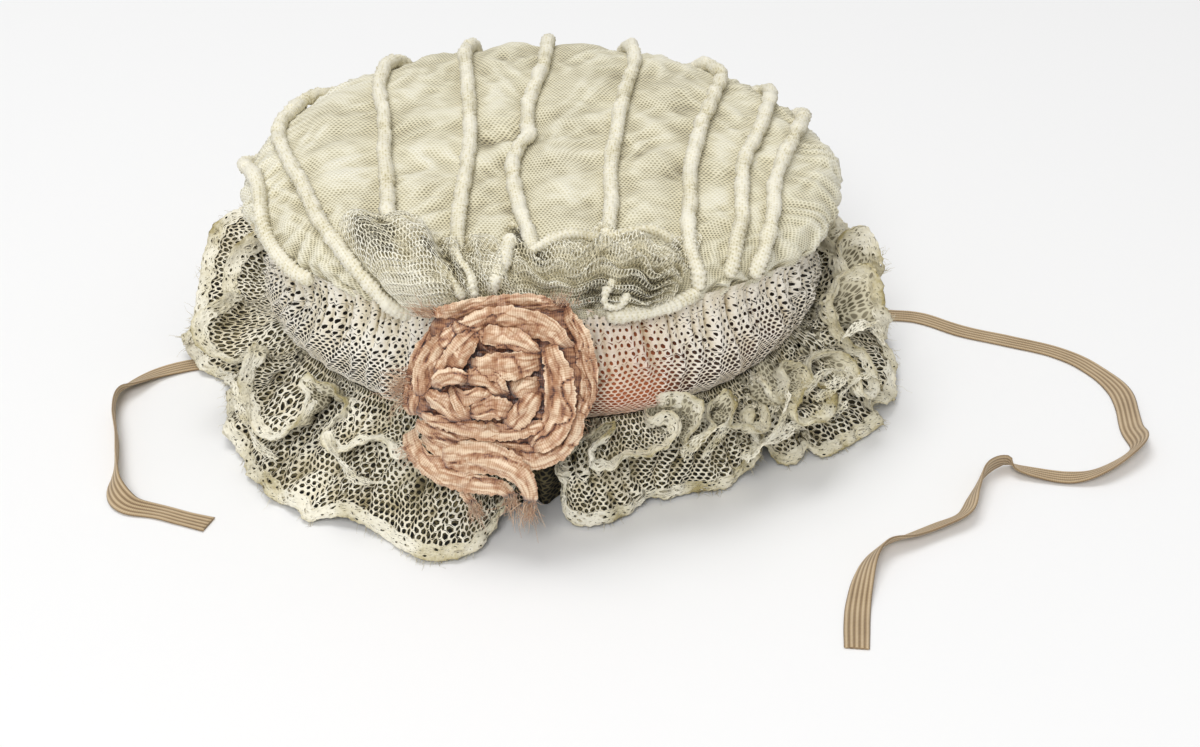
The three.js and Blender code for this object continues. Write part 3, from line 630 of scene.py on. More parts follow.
band_angle = np.linspace(0, TURN, BAND_COLUMNS, endpoint=False)[:, None] + np.zeros((1, BAND_ROWS))
band_share = np.linspace(0, 1, BAND_ROWS)[None] + np.zeros((BAND_COLUMNS, 1))
band_fold = band_folds(band_angle, band_share) * FOLD_DEPTH
band_grid = band_surface(band_angle, band_share, band_fold)
edge_spread = 1 - 0.15 * np.maximum(0, -np.sin(band_angle)) ** 2
edge_level = seam_height(band_angle)
edge_top = CROWN_TOP + CROWN_RAKE * np.sin(band_angle) * CROWN_RY
crown_edge = round_hat(
    band_angle, CROWN_RX * edge_spread, CROWN_RY * edge_spread, edge_level + (edge_top - edge_level) * 0.3
)
gather_lines = np.sin(band_angle * 74 + 2.2 * crumple(25, 12)(crown_edge) + 3 * band_share)
gathered = crumple(24, 7)(crown_edge + band_share[..., None] * 9) * 1.2 + creased(gather_lines) * 0.9
band_lip = np.clip((band_share - LIP_START) / (1 - LIP_START), 0, 1)
band_lip = band_lip**1.6 * (1.15 - 0.15 * band_lip)
band_grid += (crown_edge - band_grid) * band_lip[..., None]
band_pucker = 0.014 * gathered * np.sin(math.pi * np.clip((band_share - 0.5) * 2, 0, 1)) ** 0.7
band_grid[..., :2] *= (1 + band_pucker)[..., None]
band_hollow = hollows(band_grid, 12, closed=True)
print("band hollows, mm:", np.percentile(band_hollow, [2, 50, 98]).round(2))

# %% [markdown]
# The silk shows only through the holes of the net. Beside the rosette it is still salmon pink, and
# elsewhere it is painted dark brown to near black, which is painted shade of the depth under the net, so
# the net reads as light threads over depth. Habotai is thin and smooth, so it has a fine mottle and no
# weave. Its outside follows the band, a thread's thickness below the net, and its inside is the head
# opening.

# %% Silk under the band
silk, silk_shader = new_material("faded habotai silk over wadding", roughness=0.6, sheen=0.03, ior=1.45)
silk_uv = node(silk, "UVMap", "UV", uv_map="cloth")
blush = node(silk, "Attribute", "Fac", attribute_name="blush")
mottle = node(silk, "TexNoise", "Fac", {"Scale": 110.0, "Detail": 5.0, "Vector": silk_uv})
silk_tone = node(silk, "Math", "Value", {0: mottle, 1: 0.3, 2: blush}, operation="MULTIPLY_ADD")
# Painted shade: the low stops are near black, for the depth seen through the net's holes.
silk_and_painted_shade_stops = [(0.12, "#1d1812"), (0.3, "#31281f"), (0.5, "#573322"), (0.75, "#8f4c2c"), (1.0, "#b3663d")]
silk_colour = node(silk, "ValToRGB", "Color", {"Fac": silk_tone}, silk_and_painted_shade_stops)
silk_bump = node(silk, "Bump", "Normal", {"Strength": 0.4, "Distance": 0.0003, "Height": mottle})
wire(silk, silk_shader, {"Base Color": silk_colour, "Normal": silk_bump})

ROLL_STEP = 3
INNER_ROWS = 8


def pinkness(angle):
    """Where the silk has kept its colour."""
    beside = 0.9 * near_angle(angle, -72, 9) + 0.2 * near_angle(angle, -45, 22)
    return beside + 0.3 * near_angle(angle, -100, 14) + 0.04


roll_depth = 0.75 + 1.5 * np.clip((band_share - 0.42) * 3, 0, 1)
roll_out = band_surface(band_angle, band_share, band_fold - roll_depth)[::ROLL_STEP, ::ROLL_STEP]
roll_angle = band_angle[::ROLL_STEP, ::ROLL_STEP]
inner_share = np.linspace(1, 0, INNER_ROWS)[None]
inner_angle = roll_angle[:, :1] + np.zeros((1, INNER_ROWS))
inner_height = BAND_FOOT + (seam_height(inner_angle) - 3 - BAND_FOOT) * inner_share
roll_in = round_hat(inner_angle, HEAD_RX + 0.3, HEAD_RY - 1.4 * inner_share + 0.3, inner_height)
roll = np.concatenate([roll_out, roll_in], 1)
roll_columns, roll_rows = roll.shape[:2]
column = np.arange(roll_columns) * roll_rows
onward = np.roll(column, -1)
roll_close = np.stack([column + roll_rows - 1, onward + roll_rows - 1, onward, column], 1)
roll_faces = np.concatenate([grid_faces(roll_columns, roll_rows, closed=True), roll_close])
full_angle = np.concatenate([roll_angle, inner_angle], 1)
roll_run = np.concatenate([np.linspace(0, 28, roll_out.shape[1]), np.linspace(29, 50, INNER_ROWS)])
roll_uv = np.stack(np.broadcast_arrays(full_angle * BAND_ROUND, roll_run), -1)
band_roll = make_piece(
    "band_roll", roll, roll_faces, roll_uv, silk, "silk", "silk_band", blush=pinkness(full_angle)
)

# %% [markdown]
# The net of the band is laid over the whole grid. Its holes are wide at the foot of the band and drawn
# close where the net is gathered at the top. Near the pink silk its threads are painted a little pink, a
# painted reflection of the silk behind them, and its hollows are painted darker, which is painted shade.

# %% Net over the band
BAND_CELL = 1.72
BAND_NET_ROWS = 27


def band_holes(u, v):
    """Open at the foot of the band, and drawn close in patches towards the gathers at its top."""
    patches = 0.5 + 0.5 * np.sin(u * 70 + 5 * v + 2 * np.sin(u * 31 + 9 * v))
    return 0.77 - (0.42 + 0.18 * patches) * np.clip((v - 0.25) * 1.5, 0, 1) ** 1.5


band_cells = int(TURN * (BAND_RX + 5) / BAND_CELL)
points, faces, flat, spots = lay_net(band_grid, band_cells, BAND_NET_ROWS, band_holes, closed=True, seed=5)
# Painted shade: the threads are darkened in the band's hollows.
dust_and_shade = np.clip(0.7 * sample(band_hollow[..., None], *spots, True)[:, 0], -0.1, 0.5)
# Painted reflection: near the pink silk the threads are tinted pink.
make_piece(
    "band_net", points, faces, flat, band_thread, "band_net", "net_band",
    stain=0.04 + 0.06 * crumple(31, 30)(points) + dust_and_shade,
    blush=0.6 * pinkness(np.arctan2(points[:, 1], points[:, 0])) * (1 - spots[1]) ** 0.5,
)

# %% [markdown]
# The crown is thin cotton with net over it, puffed between the ribs and dragged into slack folds that run
# from rib to rib. The form is drawn by a profile from the middle to the rim, as (share of the way out,
# spread, spread at the front, tuck under the rim, height), and by where each rib runs: its front and back
# end, and its place from left to right at six stations from front to back.

# %% The crown's form
CROWN_PROFILE = np.array(
    [
        (0, 0, 0, 0, 1),
        (0.25, 0.27, 0.27, 0, 1),
        (0.45, 0.5, 0.5, 0, 0.98),
        (0.62, 0.72, 0.69, 0, 0.92),
        (0.75, 0.88, 0.79, 0, 0.8),
        (0.85, 0.975, 0.83, 0, 0.6),
        (0.92, 1, 0.85, 0.05, 0.33),
        (0.97, 0.99, 0.86, 0.4, 0.1),
        (1, 0.98, 0.86, 1, 0),
    ]
)
RIB_STATIONS = np.array([-1, -0.6, -0.2, 0.2, 0.6, 1])
RIBS = [
    (-0.78, 0.85, -0.86, -0.84, -0.8, -0.9, -0.92, -0.9),
    (-0.97, 0.95, -0.6, -0.63, -0.68, -0.77, -0.76, -0.72),
    (-0.6, 0.96, -0.42, -0.42, -0.45, -0.485, -0.53, -0.52),
    (-0.6, 0.97, -0.26, -0.24, -0.22, -0.23, -0.27, -0.28),
    (-0.6, 0.97, 0, -0.02, -0.085, -0.05, 0, 0),
    (-0.6, 0.97, 0.2, 0.21, 0.215, 0.25, 0.3, 0.28),
    (-0.84, 0.96, 0.68, 0.47, 0.445, 0.5, 0.57, 0.54),
    (-0.78, 0.95, 0.74, 0.62, 0.575, 0.65, 0.74, 0.73),
    (-0.76, 0.93, 0.84, 0.71, 0.665, 0.75, 0.85, 0.87),
]


def along_table(at, values, places):
    """A smooth curve through values that stand at uneven places."""
    places = np.asarray(places, float)
    slopes = np.gradient(values, at)
    slopes[0] = slopes[-1] = 0
    k = np.clip(np.searchsorted(at, places, side="right") - 1, 0, len(at) - 2)
    span = at[k + 1] - at[k]
    t = np.clip((places - at[k]) / span, 0, 1)
    ease = t * t * (3 - 2 * t)
    bend = slopes[k] * span * t * (1 - t) ** 2 - slopes[k + 1] * span * t * t * (1 - t)
    return values[k] * (1 - ease) + values[k + 1] * ease + bend


def crown_form(side, depth):
    """The crown without its puffs: side from left to right and depth from front to back, each -1 to 1."""
    x = side * np.sqrt(1 - depth**2 / 2)
    y = depth * np.sqrt(1 - side**2 / 2)
    away = np.minimum(np.hypot(x, y), 1)
    angle = np.arctan2(y, x)
    face = np.maximum(0, -np.sin(angle)) ** 2
    out_share = CROWN_PROFILE[:, 0]
    wide, front, tuck, up = (along_table(out_share, column, away) for column in CROWN_PROFILE.T[1:])
    spread = wide + (front - wide) * face
    rim = seam_height(angle)
    return round_hat(
        angle,
        CROWN_RX * spread + (RIM_RX - CROWN_RX * spread) * tuck,
        CROWN_RY * spread + (RIM_RY - CROWN_RY * spread) * tuck,
        rim + (CROWN_TOP + CROWN_RAKE * y * CROWN_RY - rim) * up,
    )


def crown_normal(side, depth):
    step = 0.01
    s = np.clip(side, -0.97, 0.97)
    d = np.clip(depth, -0.97, 0.97)
    across = crown_form(s + step, d) - crown_form(s - step, d)
    back = crown_form(s, d + step) - crown_form(s, d - step)
    return unit(np.cross(across, back))


def rib_side(rib, depth):
    return along_table(RIB_STATIONS, np.array(rib[2:]), depth)


def crown_swell(side, depth, fine=True):
    """Height of the puffed and creased cloth over the crown's form, 0 along each rib."""
    side, depth = np.broadcast_arrays(side, depth)
    edges = np.stack([side * 0 - 1] + [rib_side(rib, depth) for rib in RIBS] + [side * 0 + 1])
    puff = np.clip((edges <= side[None]).sum(0) - 1, 0, len(RIBS))
    left = np.take_along_axis(edges, puff[None], 0)[0]
    right = np.take_along_axis(edges, puff[None] + 1, 0)[0]
    width = right - left
    share = np.clip((side - left) / width, 0, 1)
    fade = (1 - np.abs(depth) ** 6) * (1 - np.abs(side) ** 10)
    swell = 0.14 * width * CROWN_RX * np.sin(math.pi * share) ** 2
    height = swell * (0.5 if fine else 1)
    if fine:
        flat = np.stack([side * 82, depth * 81, puff * 40.0], -1)
        slack = crumple(42, 17)(flat) * 0.5 + crumple(44, 5)(flat) * 0.12
        for turn, seed in ((0.75, 41), (-0.9, 43), (1.35, 45)):
            along = flat[..., 0] * math.cos(turn) + flat[..., 1] * math.sin(turn)
            over = flat[..., 1] * math.cos(turn) - flat[..., 0] * math.sin(turn)
            drag = np.stack([along * 0.2, over, puff * 37.0], -1)
            here = np.clip(0.3 + crumple(seed + 5, 26)(flat), 0, 1)
            slack = slack + creased(crumple(seed, 9)(drag) * 1.3) * 0.55 * here
        height = height + slack * np.sin(math.pi * share) ** 0.7
    height = height * fade
    if fine:
        across, back = side * np.sqrt(1 - depth**2 / 2), depth * np.sqrt(1 - side**2 / 2)
        round_rim = np.arctan2(back, across)
        near_rim = np.clip((np.hypot(across, back) - 0.7) / 0.22, 0, 1)
        wander = 2.2 * crumple(48, 24)(flat)
        gather = creased(np.sin(round_rim * 34 + wander) * 0.9) * 0.9
        gather = gather + np.sin(round_rim * 95 + 2 * wander) * 0.22
        ruched = 1 + 1.6 * np.clip(np.abs(across) - 0.55, 0, 0.4)
        height = height + gather * near_rim * ruched * np.clip((1 - np.hypot(across, back)) * 18, 0.15, 1)
    return height


# %% [markdown]
# From a distance the crown looks like one soft cream cloth. Close to, a fine honeycomb of net lies over
# cotton, lighter than the cotton behind it, so both have their own colours. Sharp wrinkles that run two
# ways are bump, and so are the threads. The hollows are painted darker, which is painted shade.

# %% Cotton and net of the crown
NET_PITCH = 1.12
crown_cloth, crown_shader = new_material("fine net over cotton lawn, cream", roughness=0.92, sheen=0.2)
crown_uv = node(crown_cloth, "UVMap", "UV", uv_map="cloth")
pull = node(crown_cloth, "TexNoise", "Color", {"Scale": 60.0, "Detail": 2.0, "Vector": crown_uv})
pull_ends = {0: pull, 1: (0.003, 0.003, 0), 2: crown_uv}
pulled = node(crown_cloth, "VectorMath", "Vector", pull_ends, operation="MULTIPLY_ADD")
thread = honeycomb(crown_cloth, pulled, NET_PITCH, 0.14, 0.4)
crown_place = node(crown_cloth, "TexCoord", "Object")
drift_ends = {"Scale": 1 / (24 * MM), "Detail": 5.0, "Roughness": 0.6, "Vector": crown_place}
crown_drift = node(crown_cloth, "TexNoise", "Fac", drift_ends)
# The stain value darkens the crown in its hollows, which is painted shade.
crown_stain_and_shade = node(crown_cloth, "Attribute", "Fac", attribute_name="stain")
crown_tone = node(crown_cloth, "Math", "Value", {0: crown_drift, 1: crown_stain_and_shade}, operation="SUBTRACT")
cotton_stops = [(0.1, "#4c452f"), (0.34, "#81785a"), (0.5, "#b9b090"), (0.6, "#dad3b6")]
thread_stops = [(0.05, "#aca284"), (0.3, "#dbd3b4"), (0.5, "#e6e0c6"), (0.7, "#efebd9")]
tone_ends = {"Fac": crown_tone}
cotton_colour = node(crown_cloth, "ValToRGB", "Color", tone_ends, cotton_stops)
thread_colour = node(crown_cloth, "ValToRGB", "Color", tone_ends, thread_stops)
mix_ends = {"Factor": thread, 6: cotton_colour, 7: thread_colour}
crown_colour = node(crown_cloth, "Mix", 2, mix_ends, data_type="RGBA")
wrinkles = {}
for k, turn in enumerate([0.6, -0.8]):
    turned_ends = {"Rotation": (0, 0, turn), "Scale": (70, 330, 1), 0: crown_uv}
    line_ends = {"Scale": 1.0, "Detail": 2.0, "Vector": node(crown_cloth, "Mapping", "Vector", turned_ends)}
    wrinkles[k] = node(crown_cloth, "TexNoise", "Fac", line_ends, noise_type="RIDGED_MULTIFRACTAL")
crown_wrinkles = node(crown_cloth, "Math", "Value", wrinkles, operation="ADD")
wrinkle_ends = {"Strength": 0.7, "Distance": 0.0004, "Height": crown_wrinkles}
wrinkle_bump = node(crown_cloth, "Bump", "Normal", wrinkle_ends)
thread_ends = {"Strength": 0.8, "Distance": 0.0002, "Height": thread, "Normal": wrinkle_bump}
crown_bump = node(crown_cloth, "Bump", "Normal", thread_ends)
wire(crown_cloth, crown_shader, {"Base Color": crown_colour, "Normal": crown_bump})

# %% [markdown]
# A plane is added as a grid, its points are set on the crown's form and lifted by the puffs, and a
# Solidify modifier gives the cloth its thickness. Its left side is whiter, and its middle a little
# darker than its sides.

# %% Crown
CROWN_CUTS = 206
CROWN_WALL = 1.1

bpy.ops.mesh.primitive_grid_add(x_subdivisions=CROWN_CUTS, y_subdivisions=CROWN_CUTS, size=2)
crown = bpy.context.object
crown.name = "crown_cloth"
spots = np.array([v.co[:2] for v in crown.data.vertices])
spot_side, spot_depth = (spots * (1.25 - 0.25 * spots**2) * 0.999).T
crown_points = crown_form(spot_side, spot_depth)
crown_points += crown_normal(spot_side, spot_depth) * crown_swell(spot_side, spot_depth)[:, None]
crown.data.vertices.foreach_set("co", metres(crown_points).ravel())
crown.data.uv_layers[0].name = "cloth"
set_uv(crown.data, crown.data.uv_layers[0], np.stack([spot_side * 95, spot_depth * 92], 1))
crown_side = int(math.sqrt(len(crown_points)))
crown_grid = crown_points.reshape(crown_side, crown_side, 3).transpose(1, 0, 2)
crown_hollow = hollows(crown_grid, 14).T.ravel()
whiter = -0.3 * np.clip(-spot_side - 0.45, 0, 1) + 0.08 * np.cos(spot_side * 1.5)
print("crown hollows, mm:", np.percentile(crown_hollow, [2, 50, 98]).round(2))
# Painted shade: the crown's hollows are darkened through the stain value.
set_values(crown.data, "stain", whiter + np.clip(crown_hollow * 0.6, -0.12, 0.4))
crown.data.materials.append(crown_cloth)
bpy.ops.object.modifier_add(type="SOLIDIFY")
wall = crown.modifiers[-1]
wall.thickness = CROWN_WALL * MM
wall.offset = -1
bpy.ops.object.modifier_apply(modifier=wall.name)
bpy.ops.object.shade_smooth()
declare(crown, "crown")

# %% [markdown]
# Each rib is a cotton cord that the net is wound round and stitched down over. It is a tube along the
# crown, with a shallow ring for each turn of the winding, rings that lean, and a round end. The winding
# and a fine honeycomb of threads make it look wrapped, not moulded.

# %% Covered cords
rib_shades = ["#7d7252", "#c4ba97", "#e4ddc3", "#f1ecda"]
rib_cloth = net_material("net wound over cotton cord, cream white", rib_shades, 18, 0.03, 1.05)
CORD_RADIUS = 2.1
CORD_SIDES = 14
CORD_STEP = 0.45
WINDING = 2.6
CORD_HEIGHT = 1.9


def wind_cord(name, places, seed, node_name=None, slot="rib_net", lift=0.0, radius=CORD_RADIUS):
    """A covered cord over the crown, along (side, depth) places."""
    side, depth = places.T
    normal = crown_normal(side, depth)
    rise = crown_swell(side, depth, fine=False) + CORD_HEIGHT + lift
    middle = crown_form(side, depth) + normal * rise[:, None]
    line = evenly(np.concatenate([middle, normal], 1), CORD_STEP)[0]
    middle, normal = line[:, :3], line[:, 3:]
    forward = unit(np.gradient(middle, axis=0))
    across = unit(np.cross(forward, normal))
    up = np.cross(across, forward)
    run = lengths_along(middle)[:, None]
    turn = np.linspace(0, TURN, CORD_SIDES, endpoint=False)[None]
    middle = middle + across * (crumple(seed, 30)(middle) * 0.35)[:, None]
    ring = np.sin(TURN * run / WINDING + 1.4 * np.sin(turn) + 2 * crumple(seed + 1, 12)(middle)[:, None])
    end = np.minimum(run, run[-1] - run)
    cap = np.sqrt(np.clip(1 - np.clip(1 - end / radius, 0, 1) ** 2, 0.02, 1))
    around = across[:, None] * np.cos(turn)[..., None] + up[:, None] * np.sin(turn)[..., None]
    surface = middle[:, None] + around * (radius * cap)[..., None]
    lumps = crumple(seed + 2, 2.4)(surface) * 0.16 + crumple(seed + 3, 9)(surface) * 0.25
    wound = creased(ring * 0.6)
    surface = surface + around * (cap * (wound * 0.6 + lumps - 0.15))[..., None]
    faces = [face[::-1] for face in tube_faces(*surface.shape[:2])]
    uv = np.stack(np.broadcast_arrays(run, turn * radius), -1)
    # Painted shade: the grooves of the winding and the low lumps are darker; the drifting part is stain.
    dust_and_shade = 0.08 * crumple(seed + 4, 25)(surface) + np.clip(-0.34 * wound - 0.5 * lumps, -0.1, 0.45)
    make_piece(name, surface, faces, uv, rib_cloth, slot, node_name or name, stain=dust_and_shade)


UNDER_SCARF = 0.08
for k, rib in enumerate(RIBS):
    front = rib[0] - UNDER_SCARF if rib[0] == -0.6 else rib[0]
    depth = np.sin(np.linspace(math.asin(front), math.asin(rib[1]), 60))
    wind_cord(f"rib_{k + 1}", np.stack([rib_side(rib, depth), depth], 1), 100 + 10 * k)

FRONT_CORDS = [
    [(-0.07, -0.6), (-0.095, -0.7), (-0.13, -0.79), (-0.17, -0.86)],
    [(0.62, -0.84), (0.52, -0.9), (0.4, -0.93), (0.3, -0.94)],
]
for k, places in enumerate(FRONT_CORDS):
    wind_cord(f"front_cord_{k + 1}", evenly(places, 0.01)[0], 300 + 10 * k)

# %% [markdown]
# A frill is a long strip of net, gathered onto the band at one edge and folded into a double hem at the
# other. Its hem is much longer than the band, so it stands in folds that double back on themselves. The
# hem's route is drawn first, as (angle round the hat, radius, height) places read off the photograph, and
# the net is stretched from the band's foot to it.

# %% How a frill hangs
FRILL_STEP = 0.9


def polar(rows):
    """Places round the hat from (angle in degrees, radius, height) rows."""
    angle, radius, height = np.array(rows, float).T
    return round_hat(np.radians(angle), radius, radius, height)


def smooth_round(values, width):
    """A closed row of numbers, each averaged with its neighbours over about width of them."""
    span = np.arange(-3 * width, 3 * width + 1)
    weight = np.exp(-((span / width) ** 2))
    wrapped = np.concatenate([values[-3 * width :], values, values[: 3 * width]])
    return np.convolve(wrapped, weight / weight.sum(), "valid")


def hang_frill(rows, start, across, flare, rise, dip, gathers, seed, settle=0.35):
    """The grid of a frill, from under the band at (radius, height) start to the hem through rows."""
    hem, length = evenly(polar(rows), FRILL_STEP, closed=True)
    count = len(hem)
    angle = np.unwrap(np.arctan2(hem[:, 1], hem[:, 0]))
    even = angle[0] + np.arange(count) / count * TURN
    root_angle = even + smooth_round(angle - even, int(9 / FRILL_STEP))
    share = np.linspace(0, 1, across)[None, :, None]
    root = round_hat(root_angle, start[0], start[0], start[1])
    grid = root[:, None] + (hem - root)[:, None] * share**flare
    drop = root[:, None, 2:] + (hem - root)[:, None, 2:] * share**rise - dip * np.sin(math.pi * share)
    grid = np.concatenate([grid[..., :2], drop], 2)
    share = share[..., 0]
    along = np.arange(count)[:, None] * FRILL_STEP
    pleat = np.sin(TURN * along / gathers[0] + 2.5 * crumple(seed, 20)(grid))
    pleat = pleat * gathers[1] * np.sin(math.pi * np.clip(share, 0, 1)) ** 0.5
    grid = grid + round_hat(root_angle, 1, 1, 0)[:, None] * pleat[..., None]
    rough = creased(crumple(seed + 1, 13)(grid)) * 0.9 + crumple(seed + 2, 6)(grid) * 0.45
    rough = rough + crumple(seed + 3, 3.4)(grid) * 0.16
    grid = grid + grid_normals(grid, closed=True) * (rough * np.clip(share * 4, 0, 1))[..., None]
    grid[..., 2] = settle + np.logaddexp(0, (grid[..., 2] - settle) * 2) / 2
    return grid, length


# %% [markdown]
# The lower tier. At the left of the rosette it spreads far out over the table. Under the rosette it is
# drawn up and leaves a dark gap, and at the right its hem stays close to the band. It stands up against
# the band at the left end of the hat. The back is hidden in the photograph, so it goes on in even folds.

# %% Lower frill
LOWER_HEM = [
    (-178, 99, 1), (-173, 91, 1.5), (-167, 91.5, 4), (-161, 93, 1), (-155, 96, 4), (-151, 94, 1),
    (-144, 97, 1), (-139, 97, 2), (-136, 98, 1), (-131, 97, 2), (-128, 98.5, 1), (-126, 96, 2),
    (-123, 93.5, 3), (-119, 92.5, 2), (-114, 94.5, 1), (-110, 97, 1), (-106, 98.5, 1), (-101, 94, 1),
    (-98, 85, 3), (-96, 77, 8), (-93, 73, 13), (-89, 72, 15), (-85.5, 73, 20), (-85, 76, 12),
    (-85, 77, 3), (-83.5, 79, 1), (-81, 81, 1), (-76, 79.5, 1), (-72, 77, 1), (-68, 74, 2), (-63, 75, 1),
    (-58, 76, 1), (-55, 78, 1), (-51, 80, 1), (-47, 80, 3), (-45.5, 84, 10), (-49, 86, 20), (-47, 82, 22),
    (-43, 80, 12), (-39, 79, 4), (-38, 82, 1), (-36, 86, 1), (-32, 86, 3), (-32, 90.5, 1), (-27, 94, 1),
    (-22, 97.5, 1), (-18, 99.5, 1), (-17, 96, 5), (-15, 100, 4), (-11, 102, 3), (-7, 101, 5),
    (-2, 102, 4), (2, 98, 8), (5, 101, 5), (9, 102, 8), (14, 98, 4), (20, 102, 1), (25, 93, 4),
    (31, 96, 1), (38, 103, 1), (42, 93, 5), (48, 95, 1), (56, 101, 1), (59, 91, 5), (66, 94, 1),
    (73, 100, 1), (77, 90, 5), (84, 93, 1), (91, 99, 1), (95, 89, 5), (102, 93, 1), (109, 100, 1),
    (113, 90, 5), (120, 94, 1), (127, 101, 1), (131, 91, 5), (137, 94, 1), (144, 101, 2), (148, 92, 12),
    (153, 95, 26), (158, 95, 33), (163, 94, 38), (166, 100, 34), (169, 102, 27), (173, 102, 21),
    (177, 102, 15), (179, 105, 8), (175.5, 107, 5), (177, 105, 2),
]
lower_grid, lower_length = hang_frill(
    LOWER_HEM, (BAND_RX - 0.5, BAND_FOOT - 1.6), 46, 1.3, 0.85, 0, (5.5, 0.9), 50
)
print("lower hem, mm:", round(lower_length))

# %% [markdown]
# Wherever cloth is cut or worn, threads come loose. Each one is a thin tube with three sides that wanders
# off.

# %% Loose threads
LOOSE_SHADE = 1.25


def fray(roots, ways, reach, thickness, seed):
    """Loose threads that start at roots and wander off along ways, as (points, faces, uv, shade)."""
    rng = np.random.default_rng(seed)
    count = len(roots)
    steps = np.linspace(0, 1, 5)[None, :, None]
    long = reach * rng.uniform(0.4, 1.2, count)
    ways = unit(ways)
    bend = rng.normal(0, 0.4, (count, 3))
    curl = rng.normal(0, 0.12, (count, 5, 3)) * steps
    wandered = ways[:, None] * steps + bend[:, None] * steps**2 + curl
    middle = roots[:, None] + wandered * long[:, None, None]
    side = unit(np.cross(ways, rng.normal(size=(count, 3))))
    other = np.cross(ways, side)
    turn = (np.arange(3) * TURN / 3)[None, :, None]
    ring = side[:, None] * np.cos(turn) + other[:, None] * np.sin(turn)
    size = thickness / 2 * (1 - 0.6 * steps)
    points = middle[:, :, None] + ring[:, None] * size[..., None]
    corner, onward = np.arange(3), (np.arange(3) + 1) % 3
    base = (np.arange(count)[:, None] * 15 + np.arange(4)[None] * 3).reshape(-1, 1)
    faces = np.stack([base + corner, base + onward, base + 3 + onward, base + 3 + corner], -1).reshape(-1, 4)
    uv = rng.uniform(0, 40, (count, 1, 1, 2)) + np.zeros((count, 5, 3, 2))
    return points.reshape(-1, 3), faces.tolist(), uv.reshape(-1, 2), np.full(count * 15, LOOSE_SHADE)


# %% [markdown]
# The net is turned back on itself at the hem, so it is two layers thick there, closer in weave and
# yellower at its cut edge, and it holds the frill's folds open. Behind the open net lies a second layer,
# painted near black as painted shade, and behind that an olive grey facing. They are only seen through
# its holes, so their own honeycomb is drawn, not modelled.

# %% Hems and nets of a frill
HEM_WIDTH = 4.3
HEM_GAP = 0.45
HEM_CELL = 2.4
HEM_ROWS = 9
NET_ROW = 1.45
UNDER_GAP = 0.8
FACING_GAP = 1.15
FUZZ = 520


def above(points, height):
    """The points, with none lower than a height over the table."""
    return np.maximum(points, (-np.inf, -np.inf, height))


def turn_hem(grid):
    """A strip folded round a frill's edge: out on one face, round the edge and back on the other."""
    normal = grid_normals(grid, closed=True)
    length = smooth_round(np.linalg.norm(np.diff(grid, axis=1), axis=2).sum(1), 12)
    u = np.arange(len(grid)) / len(grid)
    strips = []
    for w in np.linspace(-1, 1, 15):
        v = 1 - np.clip(HEM_WIDTH * abs(w) / length, 0, 0.5)
        side = np.sin(w * math.pi / 2) ** 3 * 0.3 + np.sign(w) * min(abs(w) * 6, 1) * HEM_GAP
        strips.append(sample(grid, u, v, True) + sample(normal, u, v, True) * side)
    strip = np.stack(strips, 1)
    strip += grid_normals(strip, closed=True) * (creased(crumple(38, 2.8)(strip)) * 0.22)[..., None]
    return above(strip, 0.12)


def slits(u, v):
    """Where the folded net lies hole on hole, its holes show as slits along the hem."""
    open_here = np.sin(u * 640 + 7 * v) + np.sin(u * 1710 - 5 * v + 2) > 0.6
    return (0.2 + 0.4 * open_here) * (1 - 0.6 * np.sin(math.pi * v) ** 10)


def backing_net(name, hole, shade, thread):
    """Net that is only seen through another: its honeycomb is drawn, in drifting shades."""
    material, shader = new_material(name, roughness=0.95)
    cloth_uv = node(material, "UVMap", "UV", uv_map="cloth")
    drift = node(material, "TexNoise", "Fac", {"Scale": 90.0, "Detail": 4.0, "Vector": cloth_uv})
    threads = honeycomb(material, cloth_uv, 1.6, 0.3, 0.42)
    tone = node(material, "Math", "Value", {0: threads, 1: 0.5, 2: drift}, operation="MULTIPLY_ADD")
    # Painted shade: the hole colour stands for the shade behind the net.
    stops = [(0.4, hole), (0.7, shade), (1.0, thread)]
    wire(material, shader, {"Base Color": node(material, "ValToRGB", "Color", {"Fac": tone}, stops)})
    return material


# Painted shade: the under layer's near black colours stand for the shade under the upper net.
shaded_under_net = backing_net("under layer of doubled cotton net, painted shade", "#0f0d09", "#2c2719", "#6a6144")
facing_net = backing_net("under side of doubled cotton net, olive grey", "#57503c", "#a8a088", "#d6cfb6")


def under_layer(name, grid, length, width, node_name, gap, material):
    """A lower layer of the doubled net: it lies just under the upper one and runs into the hem."""
    columns, rows = len(grid) // 2, grid.shape[1] // 2
    u, v = np.meshgrid(np.arange(columns) / columns, np.linspace(0, 1 - 0.6 / width, rows), indexing="ij")
    tucked = np.clip((1 - v) * width / HEM_WIDTH, 0, 1)
    out = sample(grid_normals(grid, True), u, v, True)
    points = sample(grid, u, v, True) + out * (gap * tucked)[..., None]
    faces = grid_faces(columns, rows, closed=True)
    uv = np.stack([u * length, v * width], -1)
    return make_piece(name, above(points, 0.1), faces, uv, material, "frill_net", node_name)


def wear(grid):
    """How likely a thread is loose at each place along the hem: it frays in stretches."""
    share = np.clip(0.35 + crumple(97, 14)(grid[:, -1]), 0.02, 1.5)
    return share / share.sum()


